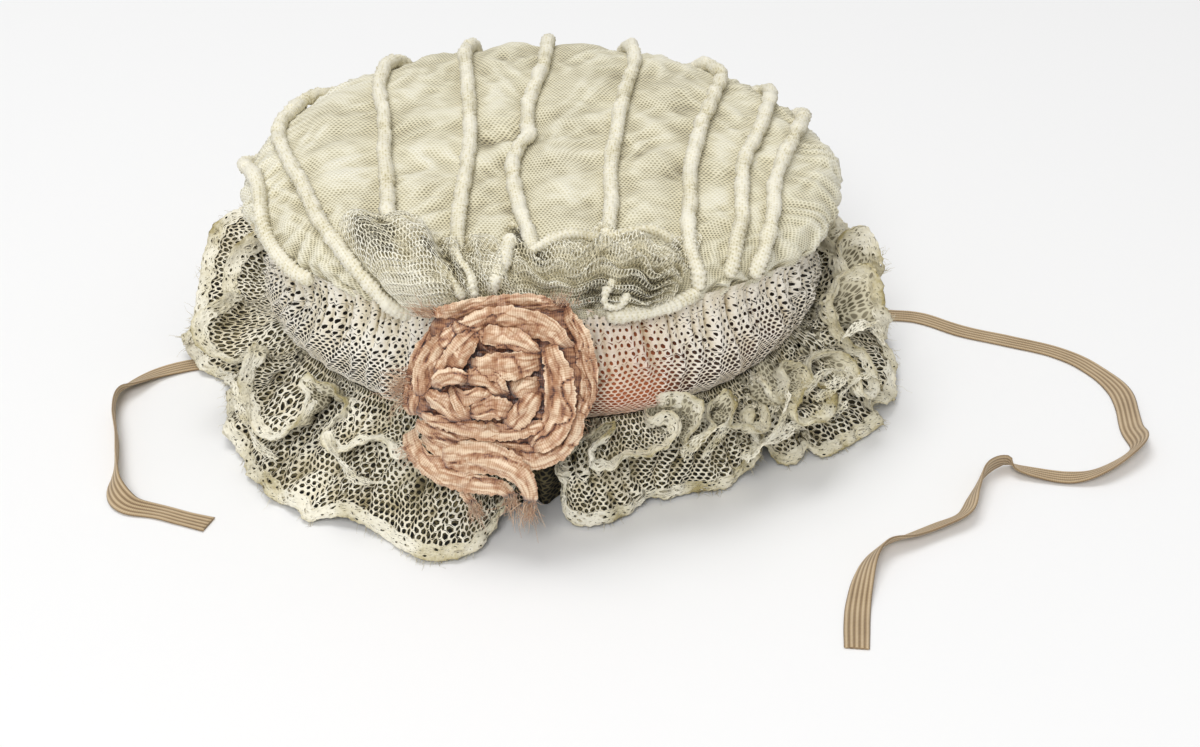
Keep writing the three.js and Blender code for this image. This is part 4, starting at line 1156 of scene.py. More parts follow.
def frill_pieces(name, grid, length, width, node_name, seed, hole):
    """All the pieces of a frill: its open net, folded hem, loose threads and the two layers behind them."""

    def patchy(u, v):
        """Open net with patches where it has shrunk or is doubled, and closer just over the hem."""
        close = np.sin(u * 47 + 4 * v) + np.sin(u * 113 - 6 * v + 1) + 0.5 * np.sin(u * 290 + 11 * v)
        return hole - 0.12 * np.clip(close - 0.6, 0, 1.2) - 0.2 * np.clip(v - 0.86, 0, 0.14) / 0.14

    hollow = -hollows(grid, 10, closed=True)[..., None]
    print(name, "hollows, mm:", np.percentile(hollow, [2, 50, 98]).round(2))
    cells, rows = int(length / NET_CELL), int(width / NET_ROW)
    points, faces, flat, spots = lay_net(grid, cells, rows, patchy, closed=True, seed=seed)
    points = above(points, 0.08)
    # The net is darker towards the band; its hollows are painted darker, which is painted shade; the drifting
    # part is stain.
    dust_and_shade = 0.02 + 0.1 * crumple(seed + 7, 22)(points) + 0.35 * np.clip(0.35 - spots[1], 0, 1)
    dust_and_shade += np.clip(0.35 * sample(hollow, *spots, True)[:, 0], -0.12, 0.45)
    net = make_piece(name + "_net", points, faces, flat, frill_net, "frill_net", node_name, stain=dust_and_shade)
    points, faces, flat, spots = lay_net(
        turn_hem(grid), int(length / HEM_CELL), HEM_ROWS, slits, closed=True, seed=seed + 1
    )
    points = above(points, 0.05)
    dust_and_shade = 0.2 * np.exp(-(((spots[1] - 0.5) / 0.09) ** 2)) + 0.16 * crumple(seed + 8, 14)(points) - 0.04
    dust_and_shade += 0.14 * near_angle(np.arctan2(points[:, 1], points[:, 0]), -40, 45)
    hem = make_piece(name + "_hem", points, faces, flat, hem_net, "frill_net", node_name, stain=dust_and_shade)
    worn = np.random.default_rng(seed + 3).choice(len(grid), FUZZ, p=wear(grid))
    ways = grid[worn, -1] - grid[worn, -6] + np.random.default_rng(seed + 4).normal(0, 1.6, (FUZZ, 3))
    points, faces, flat, _ = fray(grid[worn, -1], ways, 1.9, 0.13, seed + 5)
    points = above(points, 0.05)
    dust_and_shade = 0.2 + 0.15 * crumple(seed + 9, 9)(points)
    threads = make_piece(name + "_threads", points, faces, flat, hem_net, "frill_net", node_name, stain=dust_and_shade)
    under_layer(name + "_under", grid, length, width, node_name, UNDER_GAP, shaded_under_net)
    under_layer(name + "_facing", grid, length, width, node_name, FACING_GAP, facing_net)


LOWER_WIDTH = 33
frill_pieces("lower_frill", lower_grid, lower_length, LOWER_WIDTH, "ruffle_lower", 60, 0.73)

# %% [markdown]
# The upper tier starts just outside the lower one and curls up over it. Right of the rosette its hem runs
# in tight loops that stand away from the band, like the edge of a lettuce leaf.

# %% Upper frill
UPPER_HEM = [
    (-178, 90, 26), (-173, 88, 32), (-168, 92, 34), (-166, 99, 31), (-163, 99, 25), (-160, 93, 22),
    (-155, 89, 27), (-150, 88, 35), (-147, 92, 35), (-149, 94, 27), (-149, 93, 19), (-143, 94, 14),
    (-137, 92, 17), (-135, 86, 26), (-137, 84, 32), (-133, 80, 31), (-130, 80, 26), (-131, 87, 20),
    (-126, 90, 19), (-123, 87, 22), (-119, 84, 24), (-115, 88, 22), (-112, 86, 24.5), (-110, 80, 26),
    (-104, 76.5, 26), (-96, 76.5, 24), (-88, 76.5, 24), (-83.5, 77, 23), (-80, 80, 29.5), (-76, 82, 34),
    (-78.5, 85, 31), (-81, 86, 28), (-80, 86, 23), (-77, 87, 21.5), (-73, 84.5, 25), (-70, 84, 22.7),
    (-67, 86, 27), (-65, 86.5, 31), (-65.2, 84, 34.5), (-66.7, 82, 34.6), (-68.5, 79, 31.6),
    (-68.5, 77, 33), (-67.5, 77.5, 36), (-66, 80, 38.5), (-64, 83, 39.5), (-62, 85, 39),
    (-61.2, 87, 36.5), (-61.8, 86.5, 30.5), (-62.5, 83, 25), (-60.5, 82, 19.5), (-57.5, 84, 22.5),
    (-56, 84, 26), (-57, 80, 28.5), (-55.5, 80, 32), (-54.3, 84, 35.5), (-54, 87, 33), (-56, 87, 27),
    (-52, 88.5, 25), (-48.5, 88, 21), (-45, 86, 20), (-43, 82, 25), (-44, 79, 30), (-44.5, 80, 34),
    (-46, 85, 33), (-43.5, 88, 27.5), (-39, 85, 28), (-36, 80, 31), (-33, 83, 30), (-34.5, 88, 27),
    (-40, 90, 27), (-43, 92.5, 24), (-40, 95, 20), (-34, 94.5, 18), (-30, 92, 21), (-31.5, 88, 23),
    (-29, 84, 26), (-25, 86, 28), (-23, 93, 24), (-26, 98, 17), (-21, 99, 14), (-17, 95, 20),
    (-18, 88, 28), (-15, 83, 36), (-11, 86, 43), (-11, 93, 43), (-14, 97, 35), (-11, 99, 27),
    (-7, 96, 26), (-6, 90, 32), (-3, 84, 40), (1, 86, 45), (2, 92, 44), (0, 96, 36), (2, 97, 28),
    (6, 93, 27), (9, 86, 33), (13, 83, 37), (16, 88, 38), (15, 93, 32), (18, 94, 25), (23, 89, 24),
    (26, 82, 30), (30, 81, 35), (33, 87, 34), (32, 92, 28), (35, 93, 22), (40, 88, 22), (43, 81, 28),
    (47, 81, 33), (50, 86, 32), (49, 91, 26), (52, 92, 21), (57, 87, 21), (60, 81, 27), (64, 81, 32),
    (67, 86, 31), (66, 91, 25), (69, 92, 20), (74, 87, 20), (77, 81, 26), (81, 81, 31), (84, 86, 30),
    (83, 91, 25), (86, 92, 20), (91, 87, 20), (94, 81, 26), (98, 81, 31), (101, 86, 30), (100, 91, 25),
    (103, 92, 20), (108, 87, 21), (111, 81, 27), (115, 81, 32), (118, 86, 31), (117, 91, 26),
    (120, 92, 21), (125, 87, 22), (128, 81, 28), (132, 81, 33), (135, 86, 32), (134, 91, 27),
    (137, 92, 22), (142, 87, 24), (145, 81, 30), (149, 82, 36), (153, 87, 37), (152, 91, 31),
    (156, 92, 26), (161, 88, 27), (165, 83, 33), (170, 84, 38), (174, 89, 36), (176, 92, 30),
    (179, 92, 26),
]
upper_grid, upper_length = hang_frill(
    UPPER_HEM, (BAND_RX + 1.2, BAND_FOOT - 0.4), 30, 1.1, 1.5, 4, (4.5, 0.6), 70
)
print("upper hem, mm:", round(upper_length))
UPPER_WIDTH = 16
frill_pieces("upper_frill", upper_grid, upper_length, UPPER_WIDTH, "ruffle_upper", 80, 0.72)

# %% [markdown]
# At the right of the rosette, and a little at the left, lengths of the folded hem have come away from the
# net and curl up by themselves. Each one is a strip of doubled net that twists along a route read off the
# photograph.

# %% Curls of loose hem
CURL_WIDTH = 4.6
CURLS = [
    [(-64, 84, 20), (-62, 88, 27), (-58, 89, 30), (-55, 86, 27), (-57, 84, 22), (-60, 85, 20), (-59, 87, 24)],
    [(-52, 86, 14), (-48, 90, 20), (-44, 90, 27), (-42, 86, 28), (-44, 84, 22)],
    [(-47, 84, 14), (-42, 88, 17), (-37, 90, 18), (-32, 91, 15), (-28, 93, 17)],
    [(-38, 88, 26), (-34, 91, 30), (-30, 93, 27), (-31, 90, 22), (-34, 88, 20)],
    [(-30, 92, 18), (-26, 95, 22), (-22, 96, 20), (-19, 97, 15), (-22, 97, 11)],
    [(-24, 90, 32), (-20, 93, 34), (-16, 95, 30), (-15, 98, 24)],
    [(-151, 92, 24), (-146, 95, 18), (-141, 96, 14), (-137, 94, 12)],
    [(-128, 88, 24), (-124, 92, 20), (-119, 93, 17), (-115, 91, 17)],
]

def twist_hem(rows, seed):
    """The grid of a strip of hem that twists along its route, and its length."""
    line, length = evenly(polar(rows), 0.8)
    out = unit(line * (1, 1, 0))
    turn = 0.7 + 0.9 * np.sin(np.linspace(0, 5, len(line)) + seed)
    across = out * np.cos(turn)[:, None] + np.array([0, 0, 1.0]) * np.sin(turn)[:, None]
    grid = line[:, None] + across[:, None] * (np.linspace(-0.5, 0.5, 9) * CURL_WIDTH)[None, :, None]
    return grid + grid_normals(grid) * (creased(crumple(seed, 5)(grid)) * 0.5)[..., None], length


def join_parts(parts):
    """Parts of one piece, each (points, faces, uv, shade), as one."""
    starts = np.cumsum([0] + [len(part[0]) for part in parts]).tolist()
    faces = [[k + start for k in face] for start, part in zip(starts, parts) for face in part[1]]
    points, uv, shade = (np.concatenate([part[k] for part in parts]) for k in (0, 2, 3))
    return points, faces, uv, shade


def curl_holes(u, v):
    return 0.1 + 1.1 * slits(u * 0.06, v)


curls = []
for k, rows in enumerate(CURLS):
    grid, length = twist_hem(rows, 130 + k)
    points, faces, flat, _ = lay_net(grid, int(length / NET_CELL), 5, curl_holes, seed=140 + k)
    curls.append((points, faces.tolist(), flat, flat[:, 0]))
points, faces, flat, _ = join_parts(curls)
points = above(points, 0.1)
dust_and_shade = 0.16 * crumple(139, 6)(points) - 0.04
make_piece("upper_frill_curls", points, faces, flat, hem_net, "frill_net", "ruffle_upper", stain=dust_and_shade)

# %% [markdown]
# Under the rosette the lower tier has torn away from the band. In the gap hangs a sheet of the under
# layer's near black net, which is painted shade: it stands for the dark inside of the hat there.

# %% Sheet of painted shade in the gap
SHADE_SHEET_COLUMNS = 50
SHADE_SHEET_ROWS = 24
shade_sheet_angles = np.radians(np.linspace(-103, -78, SHADE_SHEET_COLUMNS))
shade_sheet_angle, shade_sheet_drop = np.meshgrid(shade_sheet_angles, np.linspace(0, 1, SHADE_SHEET_ROWS), indexing="ij")
shade_sheet_out = 67 + 5 * np.sin(math.pi * shade_sheet_drop) ** 2 + 1.8 * np.sin(shade_sheet_angle * 60)
shade_sheet = round_hat(shade_sheet_angle, shade_sheet_out, shade_sheet_out, 27 - 26.5 * shade_sheet_drop)
shade_sheet += crumple(95, 6)(shade_sheet)[..., None] * np.array([0.5, 0.5, 0])
shade_sheet_uv = np.stack([shade_sheet_angle * 70, shade_sheet_drop * 27], -1)
shade_sheet_faces = grid_faces(SHADE_SHEET_COLUMNS, SHADE_SHEET_ROWS)
# Painted shade: a near black sheet darkens the gap under the rosette.
make_piece("painted_shade_sheet", shade_sheet, shade_sheet_faces, shade_sheet_uv, shaded_under_net, "frill_net", "ruffle_lower")

# %% [markdown]
# A scarf of the same net is bunched over the front of the crown: a hollow bubble at the left, then
# gathers, and at the right a fan of long folds. Each part is two layers of net, and the lower one is
# closer to the crown and painted darker, which is painted shade.

# %% Scarf of net at the front
def gap_share(gaps, u, v):
    """1 at the gaps of a puff, falling to 0 round them."""
    return sum(np.exp(-(((u - across) / 0.1) ** 2) - ((v - up) / 0.14) ** 2) for across, up in gaps)


def drape_puff(name, sides, depths, height, columns, rows, seed, gaps):
    """Two layers of net over a part of the crown. height gives the cloth's rise at (across, up) shares. At
    the gaps, also (across, up) shares, the holes open a little wider and the lower layer is painted dark,
    which is painted shade."""
    a, b = np.meshgrid(np.linspace(0, 1, 90), np.linspace(0, 1, 60), indexing="ij")
    side, depth = sides(a, b), depths(a, b)
    normal = crown_normal(side, depth)
    seat = crown_form(side, depth) + normal * crown_swell(side, depth, fine=False)[..., None]
    layers = []
    for k, (share, hole) in enumerate([(1, 0.68), (0.5, 0.45)]):
        grid = seat + normal * (0.9 + height(a, b) * share)[..., None]
        rough = crumple(seed + k, 8)(grid) * 0.7 + crumple(seed + 9, 4)(grid) * 0.25
        grid = grid + normal * rough[..., None]
        points, faces, flat, spots = lay_net(
            grid, columns, rows, lambda u, v: hole + 0.13 * gap_share(gaps, u, v), seed=seed + k
        )
        # Painted shade: the net is darkened in its hollows, all over the lower layer, and most at the gaps.
        dust_and_shade = np.clip(0.8 * sample(hollows(grid, 10)[..., None], *spots)[:, 0], -0.12, 0.5) + 0.2 * k
        dust_and_shade += (0.1 + 1.1 * k) * gap_share(gaps, *spots)
        layers.append((points, faces.tolist(), flat, dust_and_shade))
    points, faces, flat, dust_and_shade = join_parts(layers)
    dust_and_shade += 0.08 * crumple(seed, 18)(points)
    make_piece(name, points, faces, flat, scarf_net, "crown_net", name, stain=dust_and_shade)


def bubble(a, b):
    """A round puff in the left half that sinks to gathers in the right half."""
    edge = (np.sin(math.pi * b) ** 0.5) * (np.sin(math.pi * np.clip(a, 0, 1)) ** 0.45)
    round_puff = 11 * np.exp(-(((a - 0.24) / 0.25) ** 4)) + 1.2 * np.sin(a * 19 + b * 9)
    pleat = creased(np.sin(a * 21 + b * 3.5 + 1.2 * np.sin(b * 5)) * 0.9)
    gathers = (6 + 3.4 * pleat) * np.clip((a - 0.38) * 4, 0, 1)
    return (round_puff + gathers) * edge


drape_puff(
    "front_puff_left",
    lambda a, b: -0.6 + 0.5 * a + 0.05 * (1 - b),
    lambda a, b: -0.93 + (0.33 + 0.12 * np.exp(-(((a - 0.25) / 0.3) ** 2)) + 0.03 * np.sin(a * 17)) * b,
    bubble, 42, 28, 400, [(0.21, 0.86), (0.16, 0.62), (0.55, 0.55)],
)


def fan(a, b):
    """Long folds that fan out from a low point at the right."""
    edge = (np.sin(math.pi * b) ** 0.5) * (np.sin(math.pi * a) ** 0.35)
    spread = np.arctan2(b - 0.15, 1.15 - a)
    fold = creased(np.sin(spread * 13 + 1.3 * np.sin(a * 4)) * 0.9)
    return (5 + 3.4 * fold + 1.2 * np.sin(a * 9 + b * 4)) * edge


drape_puff(
    "front_puff_right",
    lambda a, b: -0.1 + 0.6 * a + 0.04 * (1 - b),
    lambda a, b: -0.92 + (0.33 + 0.05 * np.sin(a * 13 + 1) + 0.03 * np.sin(a * 29)) * b,
    fan, 54, 25, 420, [(0.75, 0.3), (0.5, 0.15), (0.12, 0.8)],
)

# %% [markdown]
# Some of the scarf is twisted up into soft rolls, which lie across its folds like the covered cords.

# %% Rolls of the scarf
SCARF_ROLLS = [
    (
        "front_puff_right", 1.7, 1.6,
        [(-0.02, -0.68), (0.08, -0.63), (0.2, -0.61), (0.33, -0.62), (0.42, -0.66)],
    ),
    (
        "front_puff_right", 1.5, 1.2,
        [(0.28, -0.81), (0.265, -0.86), (0.29, -0.9), (0.33, -0.89), (0.34, -0.85)],
    ),
    ("front_puff_left", 1.6, 1.5, [(-0.38, -0.62), (-0.35, -0.7), (-0.3, -0.79), (-0.28, -0.88)]),
    ("front_puff_left", 3.4, 1.3, [(-0.26, -0.64), (-0.25, -0.72), (-0.22, -0.8), (-0.22, -0.87)]),
]
for k, (node_name, lift, radius, places) in enumerate(SCARF_ROLLS):
    line = evenly(places, 0.01)[0]
    wind_cord(f"scarf_roll_{k + 1}", line, 350 + 10 * k, node_name, "crown_net", lift, radius)

# %% [markdown]
# The rosette is silk ribbon wound round and round and stitched down, then crushed flat in a box for
# years. Its base is a low cushion of the same silk. Over it lie lengths of ribbon, each one placed where a
# fold shows. All places are millimetres across, up and out from the rosette's seat on the band.

# %% Where the rosette sits
ROSETTE_ANGLE = math.radians(-97)
ROSETTE_TILT = math.radians(18)
level_out = math.cos(ROSETTE_TILT)
face_out = round_hat(ROSETTE_ANGLE, level_out, level_out, math.sin(ROSETTE_TILT))
face_right = unit(np.cross([0, 0, 1.0], face_out))
face_up = np.cross(face_out, face_right)
rosette_seat = band_surface(np.array(ROSETTE_ANGLE), np.array(0.6)) + face_out * 1.1


def on_face(places):
    """Places given across, up and out from the rosette's seat."""
    return rosette_seat + places @ np.stack([face_right, face_up, face_out])


# %% [markdown]
# The ribbon is grosgrain: stout weft cords under a fine silk warp. The row of glints they give across each
# fold is painted into its colour, a painted highlight. It is salmon, painted paler where the mesh is open
# to the light and brown down in the creases, which is painted light and shade. Cracks where the crushed
# silk has broken run along it as a stretched web: each is a little dent, and its line is painted dark,
# which is painted shade.

# %% Crushed silk ribbon
GROSGRAIN = 0.55
ribbon, ribbon_shader = new_material(
    "crushed grosgrain silk ribbon, salmon", roughness=0.42, sheen=0.4, ior=1.55
)
ribbon_uv = node(ribbon, "UVMap", "UV", uv_map="cloth")
ribbon_open = node(ribbon, "Attribute", "Fac", attribute_name="open")
ribbon_streaks = node(ribbon, "Mapping", "Vector", {"Scale": (120, 1100, 1), "Vector": ribbon_uv})
ribbon_drift = node(ribbon, "TexNoise", "Fac", {"Scale": 1.0, "Detail": 5.0, "Vector": ribbon_streaks})
cord_ends = {"Scale": wave_scale(GROSGRAIN), "Distortion": 1.5, "Detail": 2.0, "Vector": ribbon_uv}
ribbon_cords = node(ribbon, "TexWave", "Fac", cord_ends, bands_direction="X")
ribbon_waver = node(ribbon, "TexNoise", "Color", {"Scale": 260.0, "Detail": 2.0, "Vector": ribbon_uv})
warp_ends = {0: ribbon_waver, 1: (0.006, 0.003, 0), 2: ribbon_uv}
ribbon_warp = node(ribbon, "VectorMath", "Vector", warp_ends, operation="MULTIPLY_ADD")
ribbon_cells = node(ribbon, "Mapping", "Vector", {"Scale": (75, 430, 1), "Vector": ribbon_warp})
ribbon_edges = node(
    ribbon, "TexVoronoi", "Distance", {"Scale": 1.0, "Vector": ribbon_cells},
    feature="DISTANCE_TO_EDGE", voronoi_dimensions="2D",
)
# Painted shade: each crack's line darkens the colour.
crack_ends = {"From Max": 0.1, "To Min": -0.13, "To Max": 0.0, "Value": ribbon_edges}
ribbon_crack_dent_and_shade = node(ribbon, "MapRange", "Result", crack_ends)
# Painted highlight: the weft cords lighten the colour in rows of glints.
ribbon_painted_glint_and_streaks = node(
    ribbon, "Math", "Value", {0: ribbon_cords, 1: 0.13, 2: ribbon_drift}, operation="MULTIPLY_ADD"
)
# Painted light and shade: the colour follows how open each point is.
light_ends = {0: ribbon_open, 1: 0.6, 2: ribbon_crack_dent_and_shade}
ribbon_light = node(ribbon, "Math", "Value", light_ends, operation="MULTIPLY_ADD")
shade_ends = {0: ribbon_painted_glint_and_streaks, 1: 0.6, 2: ribbon_light}
ribbon_tone = node(ribbon, "Math", "Value", shade_ends, operation="MULTIPLY_ADD")
ribbon_stops = [(0.39, "#160a10"), (0.56, "#673a26"), (0.73, "#ab7853"), (0.86, "#c69d7a"), (1.0, "#efd5b5")]
ribbon_colour = node(ribbon, "ValToRGB", "Color", {"Fac": ribbon_tone}, ribbon_stops)
ribbon_bump = node(ribbon, "Bump", "Normal", {"Strength": 0.3, "Distance": 0.0001, "Height": ribbon_cords})
dent_ends = {"Strength": 0.8, "Distance": 0.0004, "Height": ribbon_crack_dent_and_shade, "Normal": ribbon_bump}
crack_bump = node(ribbon, "Bump", "Normal", dent_ends)
wire(ribbon, ribbon_shader, {"Base Color": ribbon_colour, "Normal": crack_bump})

# %% [markdown]
# How open each point of the ribbon is to the light is measured on the mesh: rays leave it every way, and
# the share that meet no cloth close by is kept. The colour is painted darker where that share is low, so
# the folds are dark inside: this is painted shade.

# %% How open each point is
from mathutils.bvhtree import BVHTree

OPEN_REACH = 3.5
RAYS = 24


def mark_openness(piece, shade):
    """Keeps, at each point of a mesh, the share of outward rays that meet no cloth, as painted shade. Shade
    is less than 1 in a sharp crease, and more than 1 on loose threads, which get a fixed light value and no
    painted shade."""
    mesh = piece.data
    tree = BVHTree.FromPolygons([v.co for v in mesh.vertices], [p.vertices for p in mesh.polygons])
    turns = np.arange(RAYS) * math.pi * (3 - math.sqrt(5))
    level = 1 - (np.arange(RAYS) + 0.5) * 2 / RAYS
    flat = np.sqrt(1 - level**2)
    ways = [Vector(way) for way in np.stack([np.cos(turns) * flat, np.sin(turns) * flat, level], 1)]
    share = []
    for vertex in mesh.vertices:
        out = vertex.normal
        start = vertex.co + out * 0.05 * MM
        tried = met = 0
        for way in ways:
            if way.dot(out) > 0.1:
                tried += 1
                met += tree.ray_cast(start, way, OPEN_REACH * MM)[0] is not None
        share.append(1 - met / max(tried, 1))
    share = np.where(shade > 1, shade - 0.3, np.array(share) * shade)
    set_values(mesh, "open", share)
    print(piece.name, "openness:", np.percentile(share, [5, 50, 95]).round(2))


# %% [markdown]
# A length of ribbon is a strip with pleats along it. It is broken into small flat panels with sharp
# creases between them, as crushed silk is, arched a little, and tucked in at both ends so that no cut
# edge shows.

# %% Ribbon laid in folds
LANES = 23
RIBBON_STEP = 0.4
PANEL_STRETCH = 5
TUCK_LENGTH = 3.5


def panels(along, across, pleats, seed):
    """Crushed cloth breaks into small flat panels that lean each its own way. Gives the height at each
    place, and how far it is from the sharp crease between its panel and the next."""
    rng = np.random.default_rng(seed)
    wide = np.ptp(across)
    size = wide / (0.45 * pleats + 0.6)
    count = max(int(np.ptp(along) * wide / size**2), 3)
    middles = np.stack([rng.uniform(k.min(), k.max(), count) for k in (along, across)], 1)
    lean = rng.normal(0, 0.34, (count, 2))
    depth = rng.uniform(0.1, 1, count)
    gap = np.stack(np.broadcast_arrays(along, across), -1)[:, :, None] - middles
    away = np.linalg.norm(gap, axis=-1)
    first = away.argmin(-1)
    nearest, second = np.sort(away, axis=-1)[..., :2].transpose(2, 0, 1)
    crease = second - nearest
    slope = (np.take_along_axis(gap, first[..., None, None], 2)[:, :, 0] * lean[first]).sum(-1)
    height = np.clip(crease / 0.5, 0, 1) * 0.45 * depth[first] + np.clip(slope, -0.6, 0.6)
    return height, crease + 0.5 - 0.5 * depth[first]


def fold_ribbon(path, widths, seed, pleats=2.0, crush=0.9, arch=0.4):
    """One length of ribbon, as (points, faces, uv, shade)."""
    middle, length = evenly(path, RIBBON_STEP)
    share = np.linspace(0, 1, len(middle))
    width = np.interp(share, np.linspace(0, 1, len(widths)), widths)
    forward = unit(np.gradient(middle, axis=0))
    sideways = unit(np.cross([0, 0, 1.0], forward))
    lanes = np.linspace(-1, 1, LANES)[None]
    flat = lanes * width[:, None] / 2
    local = middle[:, None] + sideways[:, None] * flat[..., None]
    run = lengths_along(middle)[:, None]
    wander = crumple(seed, 9)(local) * 0.9
    rise, crease = panels(run / PANEL_STRETCH + wander, flat + wander, pleats, seed)
    finer = pleats * 2.5 + 2
    fine_rise, fine_crease = panels(run / (2 * PANEL_STRETCH) + wander, flat + wander, finer, seed + 1)
    height = arch * (1 - lanes**2) + (rise + 0.35 * fine_rise) * crush + crumple(seed + 2, 3.5)(local) * 0.3
    # Painted shade: the creases between panels darken the colour through the shade value.
    shade = 1 - 0.6 * np.exp(-((crease / 0.14) ** 2)) - 0.1 * np.exp(-((fine_crease / 0.1) ** 2))
    tuck = np.clip(np.minimum(share, 1 - share) * length / TUCK_LENGTH, 0, 1)[:, None]
    local[..., 2] += height * (0.3 + 0.7 * tuck) - (1 - tuck) ** 1.5 * 3
    ragged = crumple(seed + 3, 1.6)(local) * 0.25 * np.abs(lanes) ** 5 * np.sign(lanes)
    local += sideways[:, None] * ragged[..., None]
    uv = np.stack(np.broadcast_arrays(run + seed, lanes * width.mean() / 2), -1)
    faces = grid_faces(len(middle), LANES).tolist()
    return on_face(local).reshape(-1, 3), faces, uv.reshape(-1, 2), shade.ravel()


tuft_rng = np.random.default_rng(90)


def tuft(count, middle, spread, way, reach, seed):
    """Loose threads whose roots are scattered round a place on the rosette's face."""
    roots = np.array(middle) + tuft_rng.normal(0, 1, (count, 3)) * np.array(spread)
    ways = np.array(way) + tuft_rng.normal(0, 0.35, (count, 3))
    return fray(on_face(roots), on_face(ways) - rosette_seat, reach, 0.22, seed)


def finish_ribbon(name, parts):
    points, faces, uv, shade = join_parts(parts)
    piece = make_piece(name, points, faces, uv, ribbon, "ribbon", name)
    mark_openness(piece, shade)
    return piece


# %% [markdown]
# The cushion under the folds is a low dome inside the rosette's edge. Each fold over it is a row of the
# table: how far out it lies, how wide it is, its pleats and its route. Threads have frayed loose round
# the edge.

# %% Rosette
CUSHION_EDGE = [
    (24, -1), (22.8, 8), (20, 15.5), (15.5, 20.5), (8, 21.5), (-2, 20), (-11, 18.3), (-16.5, 14.5),
    (-18.5, 7), (-20.5, 0), (-21.5, -7), (-17, -12.5), (-8, -16), (2, -17.5), (9, -20), (15.5, -17.5),
    (20.5, -10),
]
CUSHION_DEPTH = 6
# Painted shade: the cushion lies under the folds and is painted darker.
CUSHION_SHADE = 0.7
edge_line = evenly(CUSHION_EDGE, 0.5, closed=True)[0]
away = np.linspace(0.001, 1, 60)
cushion = np.zeros((len(edge_line), len(away), 3))
cushion[..., :2] = edge_line[:, None] * away[None, :, None]
cushion[..., 2] = CUSHION_DEPTH * np.sqrt(np.clip(1 - away**4, 0, 1))
flat_cushion = cushion.copy()
flat_cushion[..., 2] = 0
cushion[..., 2] += creased(crumple(501, 6)(flat_cushion)) * 0.7 * (1 - away**8)
cushion[..., 2] = np.maximum(cushion[..., 2], 0.2)
spokes = np.arange(len(edge_line)) * len(away)
cushion_faces = grid_faces(len(edge_line), len(away), closed=True)[:, ::-1].tolist()
cushion_faces += [(spokes + len(away) - 1).tolist(), spokes[::-1].tolist()]
cushion_shade = np.full(cushion[..., 0].size, CUSHION_SHADE)
cushion_uv = cushion[..., :2].reshape(-1, 2)
rosette_parts = [(on_face(cushion).reshape(-1, 3), cushion_faces, cushion_uv, cushion_shade)]

FOLDS = [
    (3.6, 4.2, 3, [(-18.2, 16.5), (-11, 18.3), (-1.9, 20.2), (8.3, 21.6), (16.7, 20.6)]),
    (3.2, 4.5, 3, [(16.2, 20.6), (20.8, 14), (22.6, 7.2), (23.3, 1.2), (22.2, -4.5), (20.5, -9)]),
    (3.6, 4.6, 4, [(-15.8, 13), (-18.2, 7.2), (-19.8, 1.2), (-21.3, -5), (-21, -10)]),
    (4.4, 6.4, 2, [(1, -15.5), (9.5, -17.8), (16, -14.8), (19.6, -9.5), (20.5, -3)]),
    (4.8, 5.4, 4, [(-20, -11.5), (-11, -13.8), (-1.9, -14.5), (6.5, -15.4), (13.1, -14.3)]),
    (6.2, 6.6, 1.5, [(-11.5, 12.5), (-1.9, 16.6), (7.1, 17), (14.3, 14.8), (18.5, 10)]),
    (5.6, 5.2, 4, [(-8.5, 15), (-13.4, 9.8), (-16.4, 5.4), (-17.9, 0.4), (-18.6, -5)]),
    (6.2, 4.2, 3, [(-18.4, -8.6), (-9.8, -10), (-1.9, -11.3), (7.1, -10.4), (15.5, -7.8)]),
    (6.8, 7.2, 1.5, [(13, 12.4), (15.8, 6), (16.9, 0), (16.5, -6.4), (14, -11.4), (8.5, -14.6)]),
    (7.2, 5, 2, [(-5.4, 12.6), (0.5, 13.2), (6.5, 12.2), (11.5, 8.4)]),
    (7.2, 5.6, 2, [(-3.8, 14.6), (-8.2, 9.4), (-10.8, 5), (-14.8, 0.6)]),
    (7, 4.8, 1.5, [(-17.6, -2.6), (-12.8, -4.4), (-9, -7.2), (-7, -10.4)]),
    (7.2, 5.2, 1.5, [(11.6, 1.4), (9.6, -2.4), (6.9, -6.8), (2.8, -10.6)]),
    (7.6, 4.6, 1, [(3.4, -1), (7.6, 0.9), (12.4, 1.8)]),
    (8.2, 6.6, 4, [(-6.2, 5.2), (-0.6, 5.6), (5.3, 6.4), (12, 7.6)]),
    (7.8, 3.2, 1, [(-10.6, -0.2), (-7.4, -5.2), (-5.6, -9.4)]),
    (8.2, 4.2, 2, [(-14.6, -1.6), (-12.6, 1.9), (-8.6, 2.6), (-5.2, 0.6)]),
    (8.4, 5, 2, [(-7.6, 1.6), (-3.5, 2.9), (0.8, 1.4), (2.9, -2.6)]),
    (8.2, 5.4, 3, [(-6.6, -7.2), (-2.4, -5), (2, -4.6), (6.2, -6.2)]),
    (8.8, 3.6, 2, [(-9.6, -1.4), (-6.2, -2.4), (-2.6, -1.4), (0.4, -3.4)]),
    (3.4, 9, 4, [(-18.5, -14.5), (-9, -17), (0, -18.6), (10, -20.5)]),
]
for k, (out, wide, pleats, route) in enumerate(FOLDS):
    path = [(x, y, out) for x, y in route]
    widths = [wide * 0.45, wide, wide * 1.1, wide, wide * 0.5]
    rosette_parts.append(fold_ribbon(path, widths, 600 + 5 * k, pleats))
ROSETTE_TUFTS = [
    (160, (-22.5, -2, 3), (0.9, 2.2, 0.8), (-1, -0.1, 0.3), 4.5, 901),
    (70, (-17.5, 17, 3.5), (1.2, 0.7, 0.5), (-1, 0.5, 0.2), 3.5, 902),
    (70, (15.5, 21.5, 3.5), (2.2, 0.4, 0.5), (0.2, 1, 0.1), 2.5, 903),
    (60, (22.5, 2, 3), (0.4, 6, 0.6), (1, 0, 0.2), 2.2, 904),
]
rosette_parts += [tuft(*row) for row in ROSETTE_TUFTS]
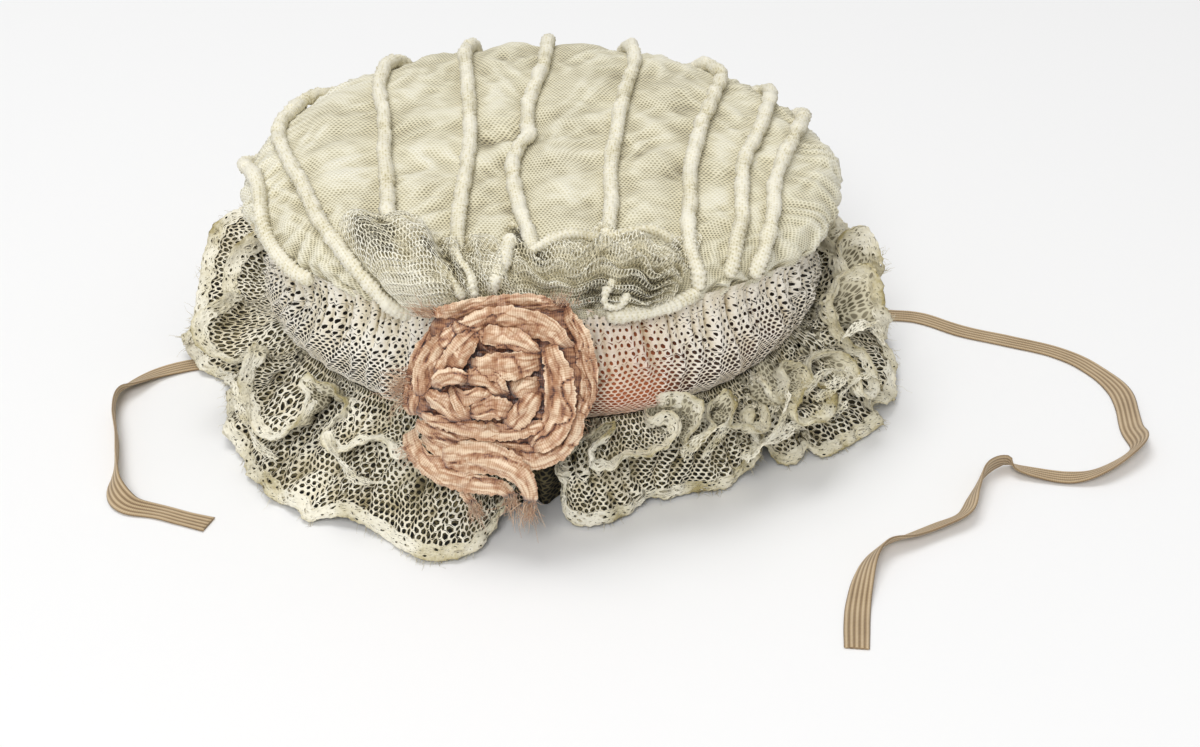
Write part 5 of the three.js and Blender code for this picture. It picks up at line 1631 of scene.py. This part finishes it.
rosette = finish_ribbon("rosette", rosette_parts)

# %% [markdown]
# The ribbon's two ends sweep across under the rosette and turn down at the right. Their weft has worn
# away there, and only a fringe of silk threads is left. A third scrap hangs behind them.

# %% Ribbon ends
ENDS = [
    (
        [
            (-22.4, -15, 1), (-18.2, -20.8, 2.5), (-11.6, -24.2, 3.6),
            (-3.7, -25.6, 4), (2.4, -26.6, 3.6), (5, -30, 2.4),
        ],
        [4, 5.5, 6.5, 6, 4.5, 2.5], 4,
    ),
    (
        [
            (-14.5, -20, 3), (-6.1, -18.4, 5.4), (1.1, -18.6, 6),
            (6.8, -21.6, 5.6), (9.6, -26.4, 4.6), (9.3, -31, 3.4),
        ],
        [4, 8, 9, 7.5, 5, 3], 4,
    ),
    ([(-9, -25, 0.5), (-7, -30, 0), (-5, -34, -0.6)], [3, 3, 2], 2),
]
tail_parts = [
    fold_ribbon(path, widths, 800 + 5 * k, pleats, crush=0.6, arch=0.9)
    for k, (path, widths, pleats) in enumerate(ENDS)
]
TAIL_TUFTS = [
    (90, (9.2, -30.5, 3.6), (0.9, 0.8, 0.4), (0, -1, -0.1), 4.5, 911),
    (90, (5, -29.5, 2.6), (0.9, 0.9, 0.4), (0.2, -1, -0.1), 4.5, 912),
    (70, (-5.2, -33, -0.4), (0.8, 1.2, 0.3), (0.1, -1, 0), 3.5, 913),
    (60, (-20, -19, 2), (1.5, 1.5, 0.4), (-0.6, -0.7, 0.1), 3, 914),
]
tail_parts += [tuft(*row) for row in TAIL_TUFTS]
finish_ribbon("ribbon_tail", tail_parts)

# %% [markdown]
# The hat lies on plain white paper, under a broad soft lamp overhead and a softer window in front of it.
# The Standard view keeps the white paper white and the cream net cream.

# %% Floor and light
bpy.ops.mesh.primitive_plane_add(size=6)
floor = bpy.context.object
floor.name = "floor"
paper, paper_shader = new_material("matt white paper", roughness=0.9)
paper_shader.inputs["Base Color"].default_value = linear("#f4f4f4")
floor.data.materials.append(paper)


def soft_light(name, place, size, watts):
    lamp = bpy.data.objects.new(name, bpy.data.lights.new(name, "AREA"))
    lamp.data.shape = "SQUARE"
    lamp.data.size = size
    lamp.data.energy = watts
    lamp.location = place
    lamp.rotation_euler = (-Vector(place)).to_track_quat("-Z", "Y").to_euler()
    bpy.context.scene.collection.objects.link(lamp)


soft_light("overhead", (-0.4, 0.2, 2.0), 1.1, 17)
soft_light("window", (-0.3, -1.8, 1.6), 0.8, 26)
studio = bpy.data.worlds.new("studio")
bpy.context.scene.world = studio
studio.use_nodes = True
studio.node_tree.nodes["Background"].inputs["Color"].default_value = (1, 1, 1, 1)
studio.node_tree.nodes["Background"].inputs["Strength"].default_value = 0.42
bpy.context.scene.view_settings.view_transform = "Standard"
